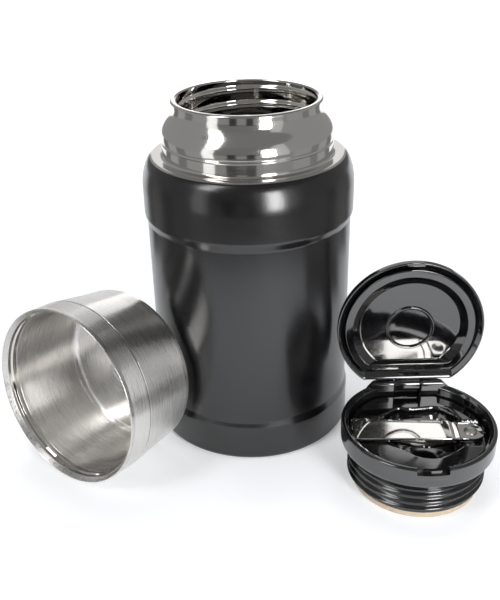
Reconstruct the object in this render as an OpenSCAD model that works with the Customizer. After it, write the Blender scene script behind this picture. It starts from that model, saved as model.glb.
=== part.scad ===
// Insulated food jar: a double-walled steel jar, a drinking cup that covers its neck, and a
// threaded stopper with a flip lid over a folding spork.
// Millimetres, +Z up. The jar stands on Z = 0 with its axis on Z. The cup lies on its side at the
// jar's left front, and the stopper stands on its seal at the right front with its lid open.

/* [Jar body] */
// Diameter of the plain wall of the jar
body_d = 100; // [97:0.5:106]
// Height of the ledge that the cup stands on
ledge_z = 145.4; // [138:0.2:160]
// How far the shoulder band stands out from the wall
shoulder_step = 1.2; // [0.6:0.1:2]
// How far the shoulder band reaches below the ledge
shoulder_band_h = 31.4; // [28:0.2:45]
// Height over which the shoulder rounds over
shoulder_h = 14.9; // [10:0.1:17]
// How far the base band stands out from the wall
base_step = 1; // [0.6:0.1:2]
// Height of the base band
base_band_h = 22; // [14:0.5:34]
// Height of the slope between a band and the wall
band_slope_h = 3.6; // [2:0.1:5]
// Thickness of the steel sheet
wall = 0.6; // [0.5:0.05:1]
// Vacuum gap between the two walls
vacuum_gap = 2.8; // [2:0.1:4]
// Height of the inside bottom above the table
vessel_floor_z = 14; // [12.5:0.5:20]

/* [Jar neck] */
// How far the bulge that the cup snaps over is set in from the wall
bulge_in = 8.4; // [7.6:0.1:10]
// How far the rim is set in from the bulge
rim_in = 5.7; // [4.5:0.1:7]
// Width of the rim
rim_w = 2.9; // [2.5:0.1:3.6]
// Width of the seat that the stopper's seal lands on
seat_w = 5.4; // [4:0.1:7]
// Height of the rim above the ledge
neck_h = 26; // [23.5:0.1:30]
// Height of the bulge's lower lip above the ledge
bulge_lip_h = 7.8; // [7:0.1:9]

/* [Cup] */
// Height of the ring at the cup's mouth
cup_ring_h = 12.8; // [11:0.1:16]
// Radius of the cup's base corner
cup_corner_r = 8; // [6:0.1:9]
// How much the cup narrows from its ring to its base corner, on the radius
cup_taper = 2.9; // [2.4:0.1:3.2]
// How far the mouth's centre lies beyond the jar's wall on the left
cup_left = 39.9; // [37:0.1:60]
// How far the mouth's centre lies beyond the jar's wall at the front
cup_front = 8.6; // [7:0.1:20]
// Direction in plan of the cup's axis, from mouth to base
cup_turn = 54; // [48:0.5:62]

/* [Stopper] */
// Place of the open lid's edge to the right of the jar's axis, as a share of the jar's radius
lid_at_x = 0.838; // [0.836:0.002:1.2]
// Place of the open lid's middle in front of the jar's axis, as a share of the jar's radius
lid_at_y = 0.6; // [0.598:0.002:0.8]
// How far the stopper's rim stands out past the jar's rim
stop_out = 0.4; // [0.2:0.1:1.5]
// Height of the rim's top above the table
stop_rim_z = 32.2; // [31:0.1:36]
// Width of the rim's wall at the top
stop_rim_w = 3.6; // [3:0.1:4]
// Height at which the skirt lands on the jar's rim
skirt_z = 18.7; // [17:0.1:20]
// Space for the thread between the plug and the mouth
thread_room = 1.8; // [1.4:0.1:2.4]
// Thickness of the plug's wall
plug_wall = 1.8; // [1.4:0.1:2.2]
// How far the silicone seal is set in from the plug's wall
seal_in = 1.1; // [0.6:0.1:1.6]
// Height of the silicone seal
seal_h = 3.2; // [2.6:0.1:3.6]
// How far the tray's top lies below the rim
tray_drop = 5.7; // [5.2:0.1:7]
// Depth of the slot in the tray that the spork lies in
slot_h = 1.5; // [1:0.1:1.8]
// Depth of the finger well in the tray
dish_depth = 10.9; // [8:0.1:11.2]

/* [Flip lid] */
// How far the lid's edge is set in from the stopper's rim
lid_in = 0.5; // [0.2:0.1:0.8]
// Thickness of the lid with its skirt
lid_h = 4.3; // [4:0.1:5]
// Room between the lid's straight edge and the hinge's barrels
lid_room = 0.4; // [0.3:0.05:0.8]
// Radius of the corners at the straight edge
lid_corner_r = 2.5; // [1.5:0.1:4]
// How far the hinge's axis is set in from the rim's outside
hinge_in = 5.1; // [4.9:0.1:5.5]
// Radius of the hinge's barrels
barrel_r = 2.6; // [2.3:0.05:2.8]
// Radius of the hinge's pin
pin_r = 1.2; // [0.9:0.05:1.4]
// Angle that the lid opens from closed
lid_open = 91; // [86:0.5:94]

/* [Spork] */
// Room left at each end of the folded spork inside the rim
spork_room = 2; // [1.9:0.1:4]
// Width of the handle at its round end
handle_w = 17.6; // [15:0.2:18.4]
// Width of the handle where its tongue begins
tongue_w = 14.6; // [13:0.2:16]
// Thickness of the handle's plate
handle_t = 1.2; // [1:0.05:1.5]
// Thickness of the head's sheet
head_t = 1.2; // [0.9:0.05:1.4]
// Width of the head's bowl
head_w = 22; // [18:0.2:23]
// Depth of the head's bowl
head_depth = 5; // [3:0.1:5.2]
// Radius of the round end at the rivet
pivot_end_r = 6.2; // [5.6:0.1:7]
// Radius of the rivet's shank
rivet_r = 1.6; // [1.2:0.05:2]
// Direction in plan of the spork in its tray
spork_turn = -3.5; // [-6:0.5:2]
// Place of the spork's middle from the stopper's axis, along Y
spork_y = -0.5; // [-0.8:0.1:0.3]

/* [Hidden] */
$fn = 96;

// Clearances
seat_gap = 0.3;      // between pieces that rest on each other on different bodies
run_gap = 0.05;      // on the radius, round a pin that turns
fit_gap = 0.1;       // between pieces joined into one body
arc_steps = 8;       // straight pieces in a quarter of a rounded profile
curve_steps = 12;    // straight pieces in the neck's double curve

// Jar
body_r = body_d / 2;
shoulder_r = body_r + shoulder_step;
base_r = body_r + base_step;
rim_z = ledge_z + neck_h;
shoulder_band_z = ledge_z - shoulder_band_h;
bulge_r = body_r - bulge_in;
rim_r = bulge_r - rim_in;
mouth_r = rim_r - rim_w;
seat_r = mouth_r - seat_w;
collar_r = bulge_r - 0.6;
ledge_r = bulge_r + 3.4;          // outer edge of the flat part of the ledge
polish_r = ledge_r + 1.8;         // where the bare steel ends and the coated shell begins
lip_z = ledge_z + bulge_lip_h;
vessel_r = body_r - wall - vacuum_gap;
foot_r = base_r - 6.6;            // inner edge of the shell's rolled foot
foot_fillet = 2.4;
getter_r = 6;
getter_off = body_r / 2;
bottom_z = 6.6;                   // underside of the pressed bottom
vent_r = 1.2;                     // the hole that the air is drawn out through

// Cup, mouth at 0 and base at cup_h along its own axis
cup_clear = 0.3;
cup_x = -body_r - cup_left;
cup_y = -body_r - cup_front;
cup_gap = 1.2;
cup_in_r = bulge_r + cup_clear;
cup_lip_r = cup_in_r + 2;
cup_ring_r = cup_lip_r + 0.1;
cup_depth = rim_z - skirt_z + stop_rim_z + seat_gap + lid_h + seat_gap - ledge_z;
cup_h = cup_depth + 2 * wall + cup_gap;
cup_wall_r = cup_ring_r - cup_taper;
cup_lean = atan(cup_taper / (cup_h - cup_corner_r - cup_ring_h));
cup_mouth_z = cup_ring_r * cos(cup_lean) + cup_ring_h * sin(cup_lean);
snap_t = 5;                       // depth of the snap ridge inside the mouth
snap_h = 0.7;

// Stopper
stop_r = rim_r + stop_out;
plug_r = mouth_r - thread_room;
seal_r = plug_r - seal_in;
hub_r = seal_r - 6.1;
bowl_r = stop_r - stop_rim_w;
tray_t = 1.4;
tray_z = stop_rim_z - tray_drop;
slot_z = tray_z - slot_h;
tray_seat_z = tray_z - 2.9;
dish_z = tray_z - dish_depth;
bowl_floor_z = dish_z - tray_t - 1.6;
well_r = plug_r - plug_wall - seat_gap - 1.5;
bowl_floor_t = 1.5;
skirt_h = 4.8;
plug_floor_t = 1.6;

// Hinge and lid
hinge_y = stop_r - hinge_in;
hinge_z = stop_rim_z + 0.1;
ear_in = 6.5;                     // half of the gap between the ears
ear_out = 0.565 * stop_r;
ear_top = hinge_z + barrel_r - 0.3;
pin_l = 2 * ear_out - 7;
knuckle_w = 2 * (ear_in - seat_gap);
lid_r = stop_r - lid_in;
lid_chord = hinge_y - barrel_r - lid_room;
lid_z = stop_rim_z + seat_gap;
lid_top = lid_z + lid_h;
lid_plate_t = 1.2;
lid_skirt_w = 2.4;
panel_t = 0.9;
notch_w = 14.4;                   // finger notch in the rim's front
notch_h = 2.8;
catch_w = 8.8;
catch_drop = 1.5;                 // how far the catch's top lies below the rim
stop_x = lid_at_x * body_r + lid_r;
stop_y = -lid_at_y * body_r - hinge_y - lid_h - 0.2;

// Spork, along X with its handle's top at spork_z
spork_l = 2 * (bowl_r - spork_room);
head_z = slot_z + seat_gap;
washer_t = 0.5;
spork_z = head_z + head_t + washer_t + handle_t;
rivet_x = spork_l / 2 - pivot_end_r;
shank_hw = tongue_w / 2;
bowl_x = rivet_x - 6;             // where the shank opens into the bowl
tip_x = -spork_l / 2 + 2;
tine_l = 11;
tine_gap = 1.7;
head_steps = 20;
side_steps = 12;

// Outline of the finger well in plan, as shares of the bowl's inner radius
DISH = [[-0.5, -0.29], [-0.28, -0.44], [-0.14, -0.58], [-0.02, -0.65], [0.19, -0.65], [0.35, -0.555],
        [0.525, -0.425], [0.68, -0.29], [0.73, 0], [0.68, 0.36], [0.4, 0.62], [-0.04, 0.57],
        [-0.195, 0.62], [-0.495, 0.38], [-0.56, 0.05]];

// Points of a quarter round about [x, y] with radii a and b, from angle a0 to a1
function arc(x, y, a, b, a0, a1) =
    [for (i = [0 : arc_steps])
        let (u = a0 + (a1 - a0) * i / arc_steps) [x + a * cos(u), y + b * sin(u)]];

function smooth(u) = (1 - cos(180 * u)) / 2;

// The cup's own frame: its axis along Z, its mouth at 0
module cup_place() {
    translate([cup_x, cup_y, cup_mouth_z]) rotate([0, 90 + cup_lean, cup_turn]) children();
}

module stopper_place() {
    translate([stop_x, stop_y, 0]) children();
}

// What is drawn closed on the stopper is turned open about the hinge
module lid_place() {
    stopper_place() translate([0, hinge_y, hinge_z]) rotate([-lid_open, 0, 0])
        translate([0, -hinge_y, -hinge_z]) children();
}

module spork_place() {
    stopper_place() translate([0, spork_y, 0]) rotate([0, 0, spork_turn]) children();
}

// ---- Jar ----

// Coated outer wall: shoulder, two raised bands and a foot rolled inwards
module outer_shell() {
    top_b = shoulder_h;
    a = shoulder_r - ledge_r;
    cut = acos((polish_r - ledge_r) / a);
    cut_in = acos((polish_r - ledge_r) / (a - wall));
    color("#1c1c1e") rotate_extrude() polygon(concat(
        [for (i = [0 : arc_steps]) let (u = cut * (1 - i / arc_steps))
            [ledge_r + a * cos(u), ledge_z - top_b + top_b * sin(u)]],
        [[shoulder_r, shoulder_band_z + band_slope_h],
         [body_r, shoulder_band_z],
         [body_r, base_band_h],
         [base_r, base_band_h - band_slope_h]],
        arc(base_r - foot_fillet, foot_fillet, foot_fillet, foot_fillet, 0, -90),
        [[foot_r, 0],
         [foot_r, wall]],
        arc(base_r - foot_fillet, foot_fillet, foot_fillet - wall, foot_fillet - wall, -90, 0),
        [[base_r - wall, base_band_h - band_slope_h - wall / 4],
         [body_r - wall, base_band_h - wall / 4],
         [body_r - wall, shoulder_band_z + wall / 4],
         [shoulder_r - wall, shoulder_band_z + band_slope_h + wall / 4]],
        [for (i = [0 : arc_steps]) let (u = cut_in * i / arc_steps)
            [ledge_r + (a - wall) * cos(u), ledge_z - top_b + (top_b - wall) * sin(u)]]));
}

// Pressed bottom that closes the vacuum space, with a sunk pad round the vent hole
module shell_bottom() {
    flange_r = base_r - wall;
    color("silver") rotate_extrude() polygon([
        [vent_r, bottom_z - 1.6], [5, bottom_z - 1.6], [8, bottom_z], [flange_r - 4, bottom_z],
        [flange_r - 1, bottom_z - 2], [flange_r, bottom_z - 2], [flange_r, bottom_z - 2 + 2 * wall],
        [flange_r - 1, bottom_z - 2 + 2 * wall], [flange_r - 4, bottom_z + wall],
        [8, bottom_z + wall], [5, bottom_z - 1.6 + wall], [vent_r, bottom_z - 1.6 + wall]]);
}

// Plain cap under the jar, held on the rolled foot; its flat face is what the jar rests on
module base_cap() {
    lip_w = 3;
    groove_r = foot_r - 10.4;
    color("silver") rotate_extrude() polygon([
        [0, 0], [groove_r - 4, 0], [groove_r - 2.8, wall], [groove_r + 2.8, wall],
        [groove_r + 4, 0], [foot_r, 0], [foot_r, wall],
        [foot_r + lip_w, wall], [foot_r + lip_w, 2 * wall], [foot_r - wall, 2 * wall],
        [foot_r - 2 * wall, wall + 0.2], [groove_r + 4.4, wall + 0.2],
        [groove_r + 3.2, 2 * wall + 0.2], [groove_r - 3.2, 2 * wall + 0.2],
        [groove_r - 4.4, wall + 0.2], [0, wall + 0.2]]);
}

// Bead of solder glass that closes the vent hole after the air is drawn out
module seal_pellet() {
    head_z = bottom_z - 1.6;
    color("#6b6f6a") rotate_extrude() polygon([
        [0, head_z - 0.9], [1.6, head_z - 0.9], [2.6, head_z - 0.3], [2.8, head_z],
        [vent_r, head_z], [vent_r, head_z + wall], [0, head_z + wall + 0.4]]);
}

// Gas-binding tablet in its holder, spot-welded to the pressed bottom
module getter() {
    top = bottom_z + wall;
    color("#8a8d90") translate([getter_off, 0, top]) rotate_extrude() polygon([
        [0, 0], [getter_r, 0], [getter_r, 0.5], [getter_r - 1.4, 0.5], [getter_r - 1.6, 1.9],
        [getter_r - 2.4, 1.9], [getter_r - 2.6, 1.3], [0, 1.3]]);
}

// Inner vessel: threaded mouth, the folded seat under it, and the round-cornered bottom
module inner_vessel() {
    seat_z = rim_z - skirt_z - 0.2;
    fold = 2.4;
    flare_z = seat_z - 16.5;
    corner = 8;
    out_r = mouth_r + wall;
    color("#c9ccd0") rotate_extrude() polygon(concat(
        [[mouth_r, rim_z - 0.6], [mouth_r, seat_z + wall], [mouth_r - wall, seat_z],
         [seat_r + wall, seat_z], [seat_r, seat_z - wall], [seat_r, seat_z - fold + wall],
         [seat_r + wall, seat_z - fold], [vessel_r - wall, flare_z]],
        arc(vessel_r - wall - corner, vessel_floor_z + corner, corner, corner, 0, -90),
        [[0, vessel_floor_z], [0, vessel_floor_z - wall]],
        arc(vessel_r - wall - corner, vessel_floor_z + corner, corner + wall, corner + wall, -90, 0),
        [[vessel_r, flare_z + wall / 2], [seat_r + 1.5 * wall, seat_z - fold + wall],
         [seat_r + 1.2 * wall, seat_z - wall - 0.2], [seat_r + 1.5 * wall, seat_z - wall],
         [mouth_r - wall / 2, seat_z - wall], [out_r, seat_z + wall / 2], [out_r, rim_z - 0.6]]));
}

// Bare steel neck: rolled rim, double curve out to the bulge, its lip, the collar and the ledge
module neck_collar() {
    a = shoulder_r - ledge_r;
    curve_top = rim_z - 2.9;
    curve_low = lip_z + 1.3;
    in_r = mouth_r + wall;
    end = acos((polish_r - ledge_r) / a);
    end_in = acos((polish_r - ledge_r) / (a - wall));
    color("#d8dadd") rotate_extrude() polygon(concat(
        [[in_r, rim_z - 4], [in_r, rim_z - 0.5], [in_r + 0.4, rim_z]],
        arc(rim_r - 1.2, rim_z - 1.6, 1.2, 1.6, 90, 0),
        [for (i = [0 : curve_steps]) let (u = i / curve_steps)
            [rim_r + (bulge_r - rim_r) * smooth(u), curve_top + (curve_low - curve_top) * u]],
        [[bulge_r, lip_z], [collar_r, lip_z - 0.5]],
        arc(collar_r + 1, ledge_z + 1, 1, 1, 180, 270),
        [for (i = [0 : arc_steps]) let (u = 90 + (end - 90) * i / arc_steps)
            [ledge_r + a * cos(u), ledge_z - shoulder_h + shoulder_h * sin(u)]],
        [for (i = [0 : arc_steps]) let (u = end_in + (90 - end_in) * i / arc_steps)
            [ledge_r + (a - wall) * cos(u), ledge_z - shoulder_h + (shoulder_h - wall) * sin(u)]],
        arc(collar_r + 1, ledge_z + 1, 1 + wall, 1 + wall, 270, 180),
        [[collar_r - wall, lip_z - 0.5 + wall / 2], [bulge_r - wall, lip_z + wall / 2]],
        [for (i = [0 : curve_steps]) let (u = 1 - i / curve_steps)
            [rim_r - wall + (bulge_r - rim_r) * smooth(u), curve_top + (curve_low - curve_top) * u]],
        [[rim_r - wall, rim_z - 3.4], [rim_r - wall, rim_z - 4]]));
}

// ---- Cup ----

// Outer wall of the cup with its lip, the line round its mouth ring and a shallow base
module cup_shell() {
    flat_r = cup_wall_r - cup_corner_r;
    groove = 0.35;
    color("#c4c7ca") cup_place() rotate_extrude() polygon(concat(
        [[cup_in_r, 2 * wall], [cup_in_r, 0.7]],
        arc(cup_in_r + 0.7, 0.7, 0.7, 0.7, 180, 270),
        arc(cup_lip_r - 0.9, 0.9, 0.9, 0.9, 270, 360),
        [[cup_ring_r, cup_ring_h - groove], [cup_ring_r - groove, cup_ring_h],
         [cup_ring_r - groove / 4, cup_ring_h + groove],
         [cup_wall_r, cup_h - cup_corner_r]],
        arc(flat_r, cup_h - cup_corner_r, cup_corner_r, cup_corner_r, 0, 90),
        [[flat_r - 3, cup_h], [flat_r - 4.2, cup_h - 0.6], [0, cup_h - 0.6],
         [0, cup_h - 0.6 - wall], [flat_r - 4.2, cup_h - 0.6 - wall], [flat_r - 3, cup_h - wall]],
        arc(flat_r, cup_h - cup_corner_r, cup_corner_r - wall, cup_corner_r - wall, 90, 0),
        [[cup_ring_r - wall, cup_ring_h + groove], [cup_ring_r - wall - groove, cup_ring_h],
         [cup_lip_r - wall, 2 * wall]]));
}

// Inner wall of the cup, with the ridge that snaps under the neck's bulge
module cup_liner() {
    straight = lip_z + 2.8 - ledge_z;
    corner = 3.4;
    low_r = cup_wall_r - 2 * wall - 1.4;
    color("#cfd2d5") cup_place() rotate_extrude() polygon(concat(
        [[cup_in_r, 2 * wall], [cup_in_r, snap_t - 2 * snap_h], [cup_in_r - snap_h, snap_t - snap_h / 2],
         [cup_in_r - snap_h, snap_t + snap_h / 2], [cup_in_r, snap_t + 2 * snap_h],
         [cup_in_r, straight], [low_r, cup_depth - corner]],
        arc(low_r - corner, cup_depth - corner, corner, corner, 0, 90),
        [[0, cup_depth], [0, cup_depth + wall]],
        arc(low_r - corner, cup_depth - corner, corner + wall, corner + wall, 90, 0),
        [[cup_in_r + wall, straight], [cup_in_r + wall, 2 * wall]]));
}

// ---- Stopper ----

// Bowl with its thick rim, the conical skirt that lands on the jar, and the hinge's two ears
module bowl_shell() {
    well_out = plug_r - plug_wall - seat_gap;
    floor_out = well_r - 1;
    land_r = well_r + 1;
    color("#101012") stopper_place() difference() {
        union() {
            rotate_extrude() polygon([
                [plug_r + 2.2, skirt_z], [stop_r, skirt_z + skirt_h], [stop_r, stop_rim_z - 0.7],
                [stop_r - 0.5, stop_rim_z], [stop_r - 1.8, stop_rim_z],
                [bowl_r + 0.2, stop_rim_z - 1.1], [bowl_r, stop_rim_z - 2],
                [bowl_r, tray_seat_z], [land_r, tray_seat_z], [well_r, tray_seat_z - 1],
                [well_r - 0.4, bowl_floor_z + 1.6], [well_r - 2, bowl_floor_z], [0, bowl_floor_z],
                [0, bowl_floor_z - bowl_floor_t], [floor_out, bowl_floor_z - bowl_floor_t],
                [well_out, bowl_floor_z + 1], [well_out, skirt_z]]);
            for (side = [-1, 1]) ear(side);
            // Step that the lid's snap hooks over, behind the finger notch
            intersection() {
                translate([-catch_w / 2, -stop_r, stop_rim_z - 4])
                    cube([catch_w, stop_rim_w + 0.6, 4 - catch_drop]);
                cylinder(r = stop_r - 1.9, h = stop_rim_z);
            }
        }
        // Room for the lid's knuckle to turn, through the rim's back
        translate([-ear_in, hinge_y, hinge_z]) rotate([0, 90, 0])
            cylinder(r = hinge_in + 0.3, h = 2 * ear_in);
        // Pin holes in both ears
        translate([-pin_l / 2, hinge_y, hinge_z]) rotate([0, 90, 0]) cylinder(r = pin_r, h = pin_l);
        // Finger notch
        difference() {
            translate([-notch_w / 2, -stop_r - 1, stop_rim_z - notch_h])
                cube([notch_w, stop_rim_w + 1, notch_h + 1]);
            translate([-catch_w / 2, -stop_r + 1.9, 0]) cube([catch_w, 10, stop_rim_z - catch_drop]);
        }
    }
}

// One hinge ear: a block on the bowl's step, rounded over at the top into the barrel, with its
// outer corner sloped down to the rim
module ear(side) {
    face = hinge_y - barrel_r;
    slope = 3.4;
    intersection() {
        translate([side > 0 ? ear_in : -ear_out, 0, 0]) rotate([90, 0, 90])
            linear_extrude(ear_out - ear_in) union() {
                translate([face, tray_seat_z]) square([stop_r - face, hinge_z - tray_seat_z]);
                translate([hinge_y, hinge_z]) circle(r = barrel_r);
                translate([hinge_y, hinge_z - 0.1]) square([stop_r - hinge_y, ear_top - hinge_z + 0.1]);
            }
        rotate_extrude() polygon([[0, 0], [stop_r, 0], [stop_r, ear_top - 0.8],
                                  [stop_r - 0.8, ear_top], [stop_r / 2, ear_top + 1], [0, ear_top + 1]]);
        translate([0, stop_r + 1, 0]) rotate([90, 0, 0]) linear_extrude(stop_r) polygon([
            [0, 0], [side * ear_out, 0], [side * ear_out, stop_rim_z - 0.1],
            [side * (ear_out - slope), ear_top], [side * ear_in, ear_top + 1], [0, ear_top + 1]]);
    }
}

// Lower cup of the stopper, which carries the thread and the seal; welded under the bowl's skirt
module threaded_plug() {
    in_r = plug_r - plug_wall;
    flange_z = seal_h - 2.4;
    color("#141416") stopper_place() rotate_extrude() polygon([
        [0, seal_h], [hub_r - 1.6, seal_h], [hub_r - 1.6, flange_z], [hub_r + 1, flange_z],
        [hub_r + 1, flange_z + 0.8], [hub_r, flange_z + 0.8], [hub_r, seal_h],
        [seal_r - 0.25, seal_h], [plug_r, seal_h + 1.2], [plug_r, skirt_z], [in_r, skirt_z],
        [in_r, seal_h + plug_floor_t + 1], [in_r - 1, seal_h + plug_floor_t],
        [0, seal_h + plug_floor_t]]);
}

// Foam that fills the plug below the bowl
module foam_disc() {
    low = seal_h + plug_floor_t;
    color("#e9e4d2") stopper_place() translate([0, 0, low])
        cylinder(r = well_r - 1, h = bowl_floor_z - bowl_floor_t - low);
}

// Silicone seal, stretched over the plug's flange
module seal_ring() {
    flange_z = seal_h - 2.4;
    color("#c9b9a5") stopper_place() rotate_extrude() polygon(concat(
        [[hub_r + fit_gap, seal_h], [hub_r + fit_gap, flange_z + 0.8 + fit_gap],
         [hub_r + 1 + fit_gap, flange_z + 0.8 + fit_gap], [hub_r + 1 + fit_gap, 0.3],
         [hub_r + 1.6, 0]],
        arc(seal_r - 0.9, 0.9, 0.9, 0.9, -90, 0),
        [[seal_r, seal_h]]));
}

// Plan of the finger well, held inside the bowl's step
module dish_plan() {
    intersection() {
        polygon(DISH * bowl_r);
        circle(r = well_r - tray_t - 0.6);
    }
}

// Moulded tray: a flange on the bowl's step, a slot for the spork, and a finger well under it
module utensil_tray() {
    flange_r = bowl_r - seat_gap;
    slot_w = handle_w + 1.6;
    slot_l = spork_l + 2;
    color("#0e0e10") stopper_place() difference() {
        union() {
            rotate_extrude() polygon([[0, tray_seat_z], [flange_r, tray_seat_z],
                [flange_r, tray_z - 0.6], [flange_r - 0.6, tray_z], [0, tray_z]]);
            translate([0, 0, dish_z - tray_t]) linear_extrude(tray_seat_z - dish_z + tray_t)
                offset(delta = tray_t) dish_plan();
        }
        translate([0, 0, dish_z]) linear_extrude(dish_depth + 1) dish_plan();
        // Slot that the spork's head rests in at both ends
        intersection() {
            translate([0, spork_y, slot_z]) rotate([0, 0, spork_turn])
                translate([-slot_l / 2, -slot_w / 2, 0]) cube([slot_l, slot_w, slot_h + 1]);
            cylinder(r = flange_r - 0.7, h = tray_z + 2);
        }
        // Clearance round the hinge ears and the knuckle between them
        translate([-ear_out - fit_gap, hinge_y - barrel_r - seat_gap, tray_seat_z - 1])
            cube([2 * (ear_out + fit_gap), 20, 10]);
    }
}

module hinge_pin() {
    color("#b9bcc0") stopper_place() translate([-pin_l / 2, hinge_y, hinge_z])
        rotate([0, 90, 0]) cylinder(r = pin_r, h = pin_l);
}

// ---- Flip lid ----

// Inner outlines of the lid: a disc cut by a straight edge, drawn in by inset
module lid_plan(inset) {
    intersection() {
        circle(r = lid_r - inset);
        translate([-lid_r, -lid_r]) square([2 * lid_r, lid_r + lid_chord - inset]);
    }
}

// The lid's outer outline, with a round corner at each end of the straight edge. The polygon leaves
// out what lies between each corner's centre and the two edges it touches.
module lid_outline() {
    y = lid_chord - lid_corner_r;
    x = sqrt(pow(lid_r - lid_corner_r, 2) - y * y);
    far = 2 * lid_r / (lid_r - lid_corner_r);
    intersection() {
        circle(r = lid_r);
        union() {
            polygon([[x, y], [x * far, y * far], [2 * lid_r, -2 * lid_r], [-2 * lid_r, -2 * lid_r],
                     [-x * far, y * far], [-x, y], [-x, lid_chord], [x, lid_chord]]);
            for (side = [-1, 1]) translate([side * x, y]) circle(r = lid_corner_r);
        }
    }
}

// Outer cover of the lid, domed at its edge, with the hinge knuckle and the front snap
module lid_cover() {
    edge = 1.4;
    cavity = lid_top - lid_plate_t;
    color("#101012") lid_place() difference() {
        union() {
            difference() {
                intersection() {
                    translate([0, 0, lid_z]) linear_extrude(lid_h) lid_outline();
                    rotate_extrude() polygon(concat(
                        [[0, 0], [lid_r, 0]],
                        arc(lid_r - edge, lid_top - edge, edge, edge, 0, 90),
                        [[0, lid_top]]));
                }
                translate([0, 0, lid_z - 1]) linear_extrude(cavity - lid_z + 1) lid_plan(lid_skirt_w);
            }
            translate([-knuckle_w / 2, 0, 0]) rotate([90, 0, 90]) linear_extrude(knuckle_w) union() {
                polygon([[lid_chord - lid_skirt_w + 0.4, lid_z + 0.6],
                         [lid_chord - lid_skirt_w + 0.4, lid_top - 0.4],
                         [hinge_y - 2, lid_top - 0.4], [hinge_y + barrel_r * 0.8, hinge_z + barrel_r * 0.6],
                         [hinge_y, hinge_z - barrel_r * 0.6]]);
                translate([hinge_y, hinge_z]) circle(r = barrel_r);
            }
            // Snap that reaches down in front of the catch in the rim
            intersection() {
                translate([-catch_w / 2 + seat_gap, -lid_r, stop_rim_z - catch_drop - 0.6])
                    cube([catch_w - 2 * seat_gap, 0.9, catch_drop + 1.5]);
                cylinder(r = lid_r - 0.2, h = lid_top);
            }
        }
        translate([-ear_in, hinge_y, hinge_z]) rotate([0, 90, 0])
            cylinder(r = pin_r + run_gap, h = 2 * ear_in);
    }
}

// Inner panel of the lid: a raised land that follows the lid's edge round a flat field, with a
// smaller ring at the centre
module lid_liner() {
    top = lid_top - lid_plate_t;
    low = top - panel_t;
    land_z = lid_z + 0.7;
    land_out = 4.2;
    land_w = 4.2;
    ring_out = 11.6;
    color("#131315") lid_place() difference() {
        union() {
            translate([0, 0, low]) linear_extrude(panel_t) lid_plan(lid_skirt_w + fit_gap);
            translate([0, 0, land_z]) linear_extrude(low - land_z + 0.1) difference() {
                lid_plan(land_out);
                lid_plan(land_out + land_w);
            }
            rotate_extrude() polygon([[ring_out - 1.6, low + 0.1], [ring_out - 1.3, low - 1],
                                      [ring_out - 0.3, low - 1], [ring_out, low + 0.1]]);
        }
        // Clearance round the root of the knuckle
        translate([-knuckle_w / 2 - fit_gap, lid_chord - lid_skirt_w - 0.4, lid_z - 1])
            cube([knuckle_w + 2 * fit_gap, 10, lid_h + 2]);
    }
}

// ---- Spork ----

// Handle plate: round left end, sides that draw in, and a round tongue at the rivet
module spork_handle() {
    hw = handle_w / 2;
    tw = tongue_w / 2;
    end = -spork_l / 2;
    back_r = 6;
    front_r = 2.5;
    step_x = rivet_x - 5.5;
    scoop_x = -8.8;
    scoop_r = 10.4;
    scoop_h = 0.5;
    color("#d4d6d9") spork_place() translate([0, 0, spork_z - handle_t]) difference() {
        linear_extrude(handle_t) polygon(concat(
            arc(end + front_r, front_r - hw, front_r, front_r, 180, 270),
            [[step_x, -tw]],
            arc(rivet_x, 0, pivot_end_r, pivot_end_r, -90, 0),
            arc(rivet_x, 0, pivot_end_r, pivot_end_r, 11.25, 90),
            [[step_x, tw]],
            arc(end + back_r, hw - back_r, back_r, back_r, 90, 180)));
        translate([rivet_x, 0, -1]) cylinder(r = rivet_r, h = handle_t + 2);
        // Shallow thumb scoop at the front edge
        translate([scoop_x, -hw - scoop_r + 5, handle_t - scoop_h]) cylinder(r = scoop_r, h = scoop_h + 1);
    }
}

// Half-width of the head, from the shank at u = 0, widest at wide_u, to the tines' tips at u = 1
wide_u = 0.31;
tip_hw = 6.2;
function head_hw(u) =
    u < wide_u ? shank_hw + (head_w / 2 - shank_hw) * smooth(u / wide_u)
               : tip_hw + (head_w / 2 - tip_hw) * smooth(max(0, 1 - (u - wide_u) / 0.55));

// Depth of the bowl at station u and side v from -1 to 1; it runs out at the tines
function head_dip(u, v) = head_depth * pow(sin(180 * min(1, u / 0.72)), 0.8) * (1 - v * v);

// The bowl and tines as one curved sheet
module head_sheet() {
    rows = head_steps + 1;
    cols = side_steps + 1;
    length = bowl_x - tip_x;
    function point(i, j, drop) =
        let (u = i / head_steps, v = 2 * j / side_steps - 1)
        [bowl_x - length * u, head_hw(u) * v, head_t - head_dip(u, v) - drop];
    top = [for (i = [0 : head_steps]) for (j = [0 : side_steps]) point(i, j, 0)];
    low = [for (i = [0 : head_steps]) for (j = [0 : side_steps]) point(i, j, head_t)];
    base = rows * cols;
    polyhedron(concat(top, low), concat(
        [for (i = [0 : head_steps - 1]) for (j = [0 : side_steps - 1]) let (p = i * cols + j)
            each [[p, p + cols, p + cols + 1], [p, p + cols + 1, p + 1]]],
        [for (i = [0 : head_steps - 1]) for (j = [0 : side_steps - 1]) let (p = base + i * cols + j)
            each [[p, p + cols + 1, p + cols], [p, p + 1, p + cols + 1]]],
        [for (i = [0 : head_steps - 1]) let (p = i * cols)
            each [[p, base + p + cols, p + cols], [p, base + p, base + p + cols]]],
        [for (i = [0 : head_steps - 1]) let (p = i * cols + side_steps)
            each [[p, p + cols, base + p + cols], [p, base + p + cols, base + p]]],
        [for (j = [0 : side_steps - 1])
            each [[j, j + 1, base + j + 1], [j, base + j + 1, base + j]]],
        [for (j = [0 : side_steps - 1]) let (p = head_steps * cols + j)
            each [[p, base + p + 1, p + 1], [p, base + p, base + p + 1]]]));
}

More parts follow.
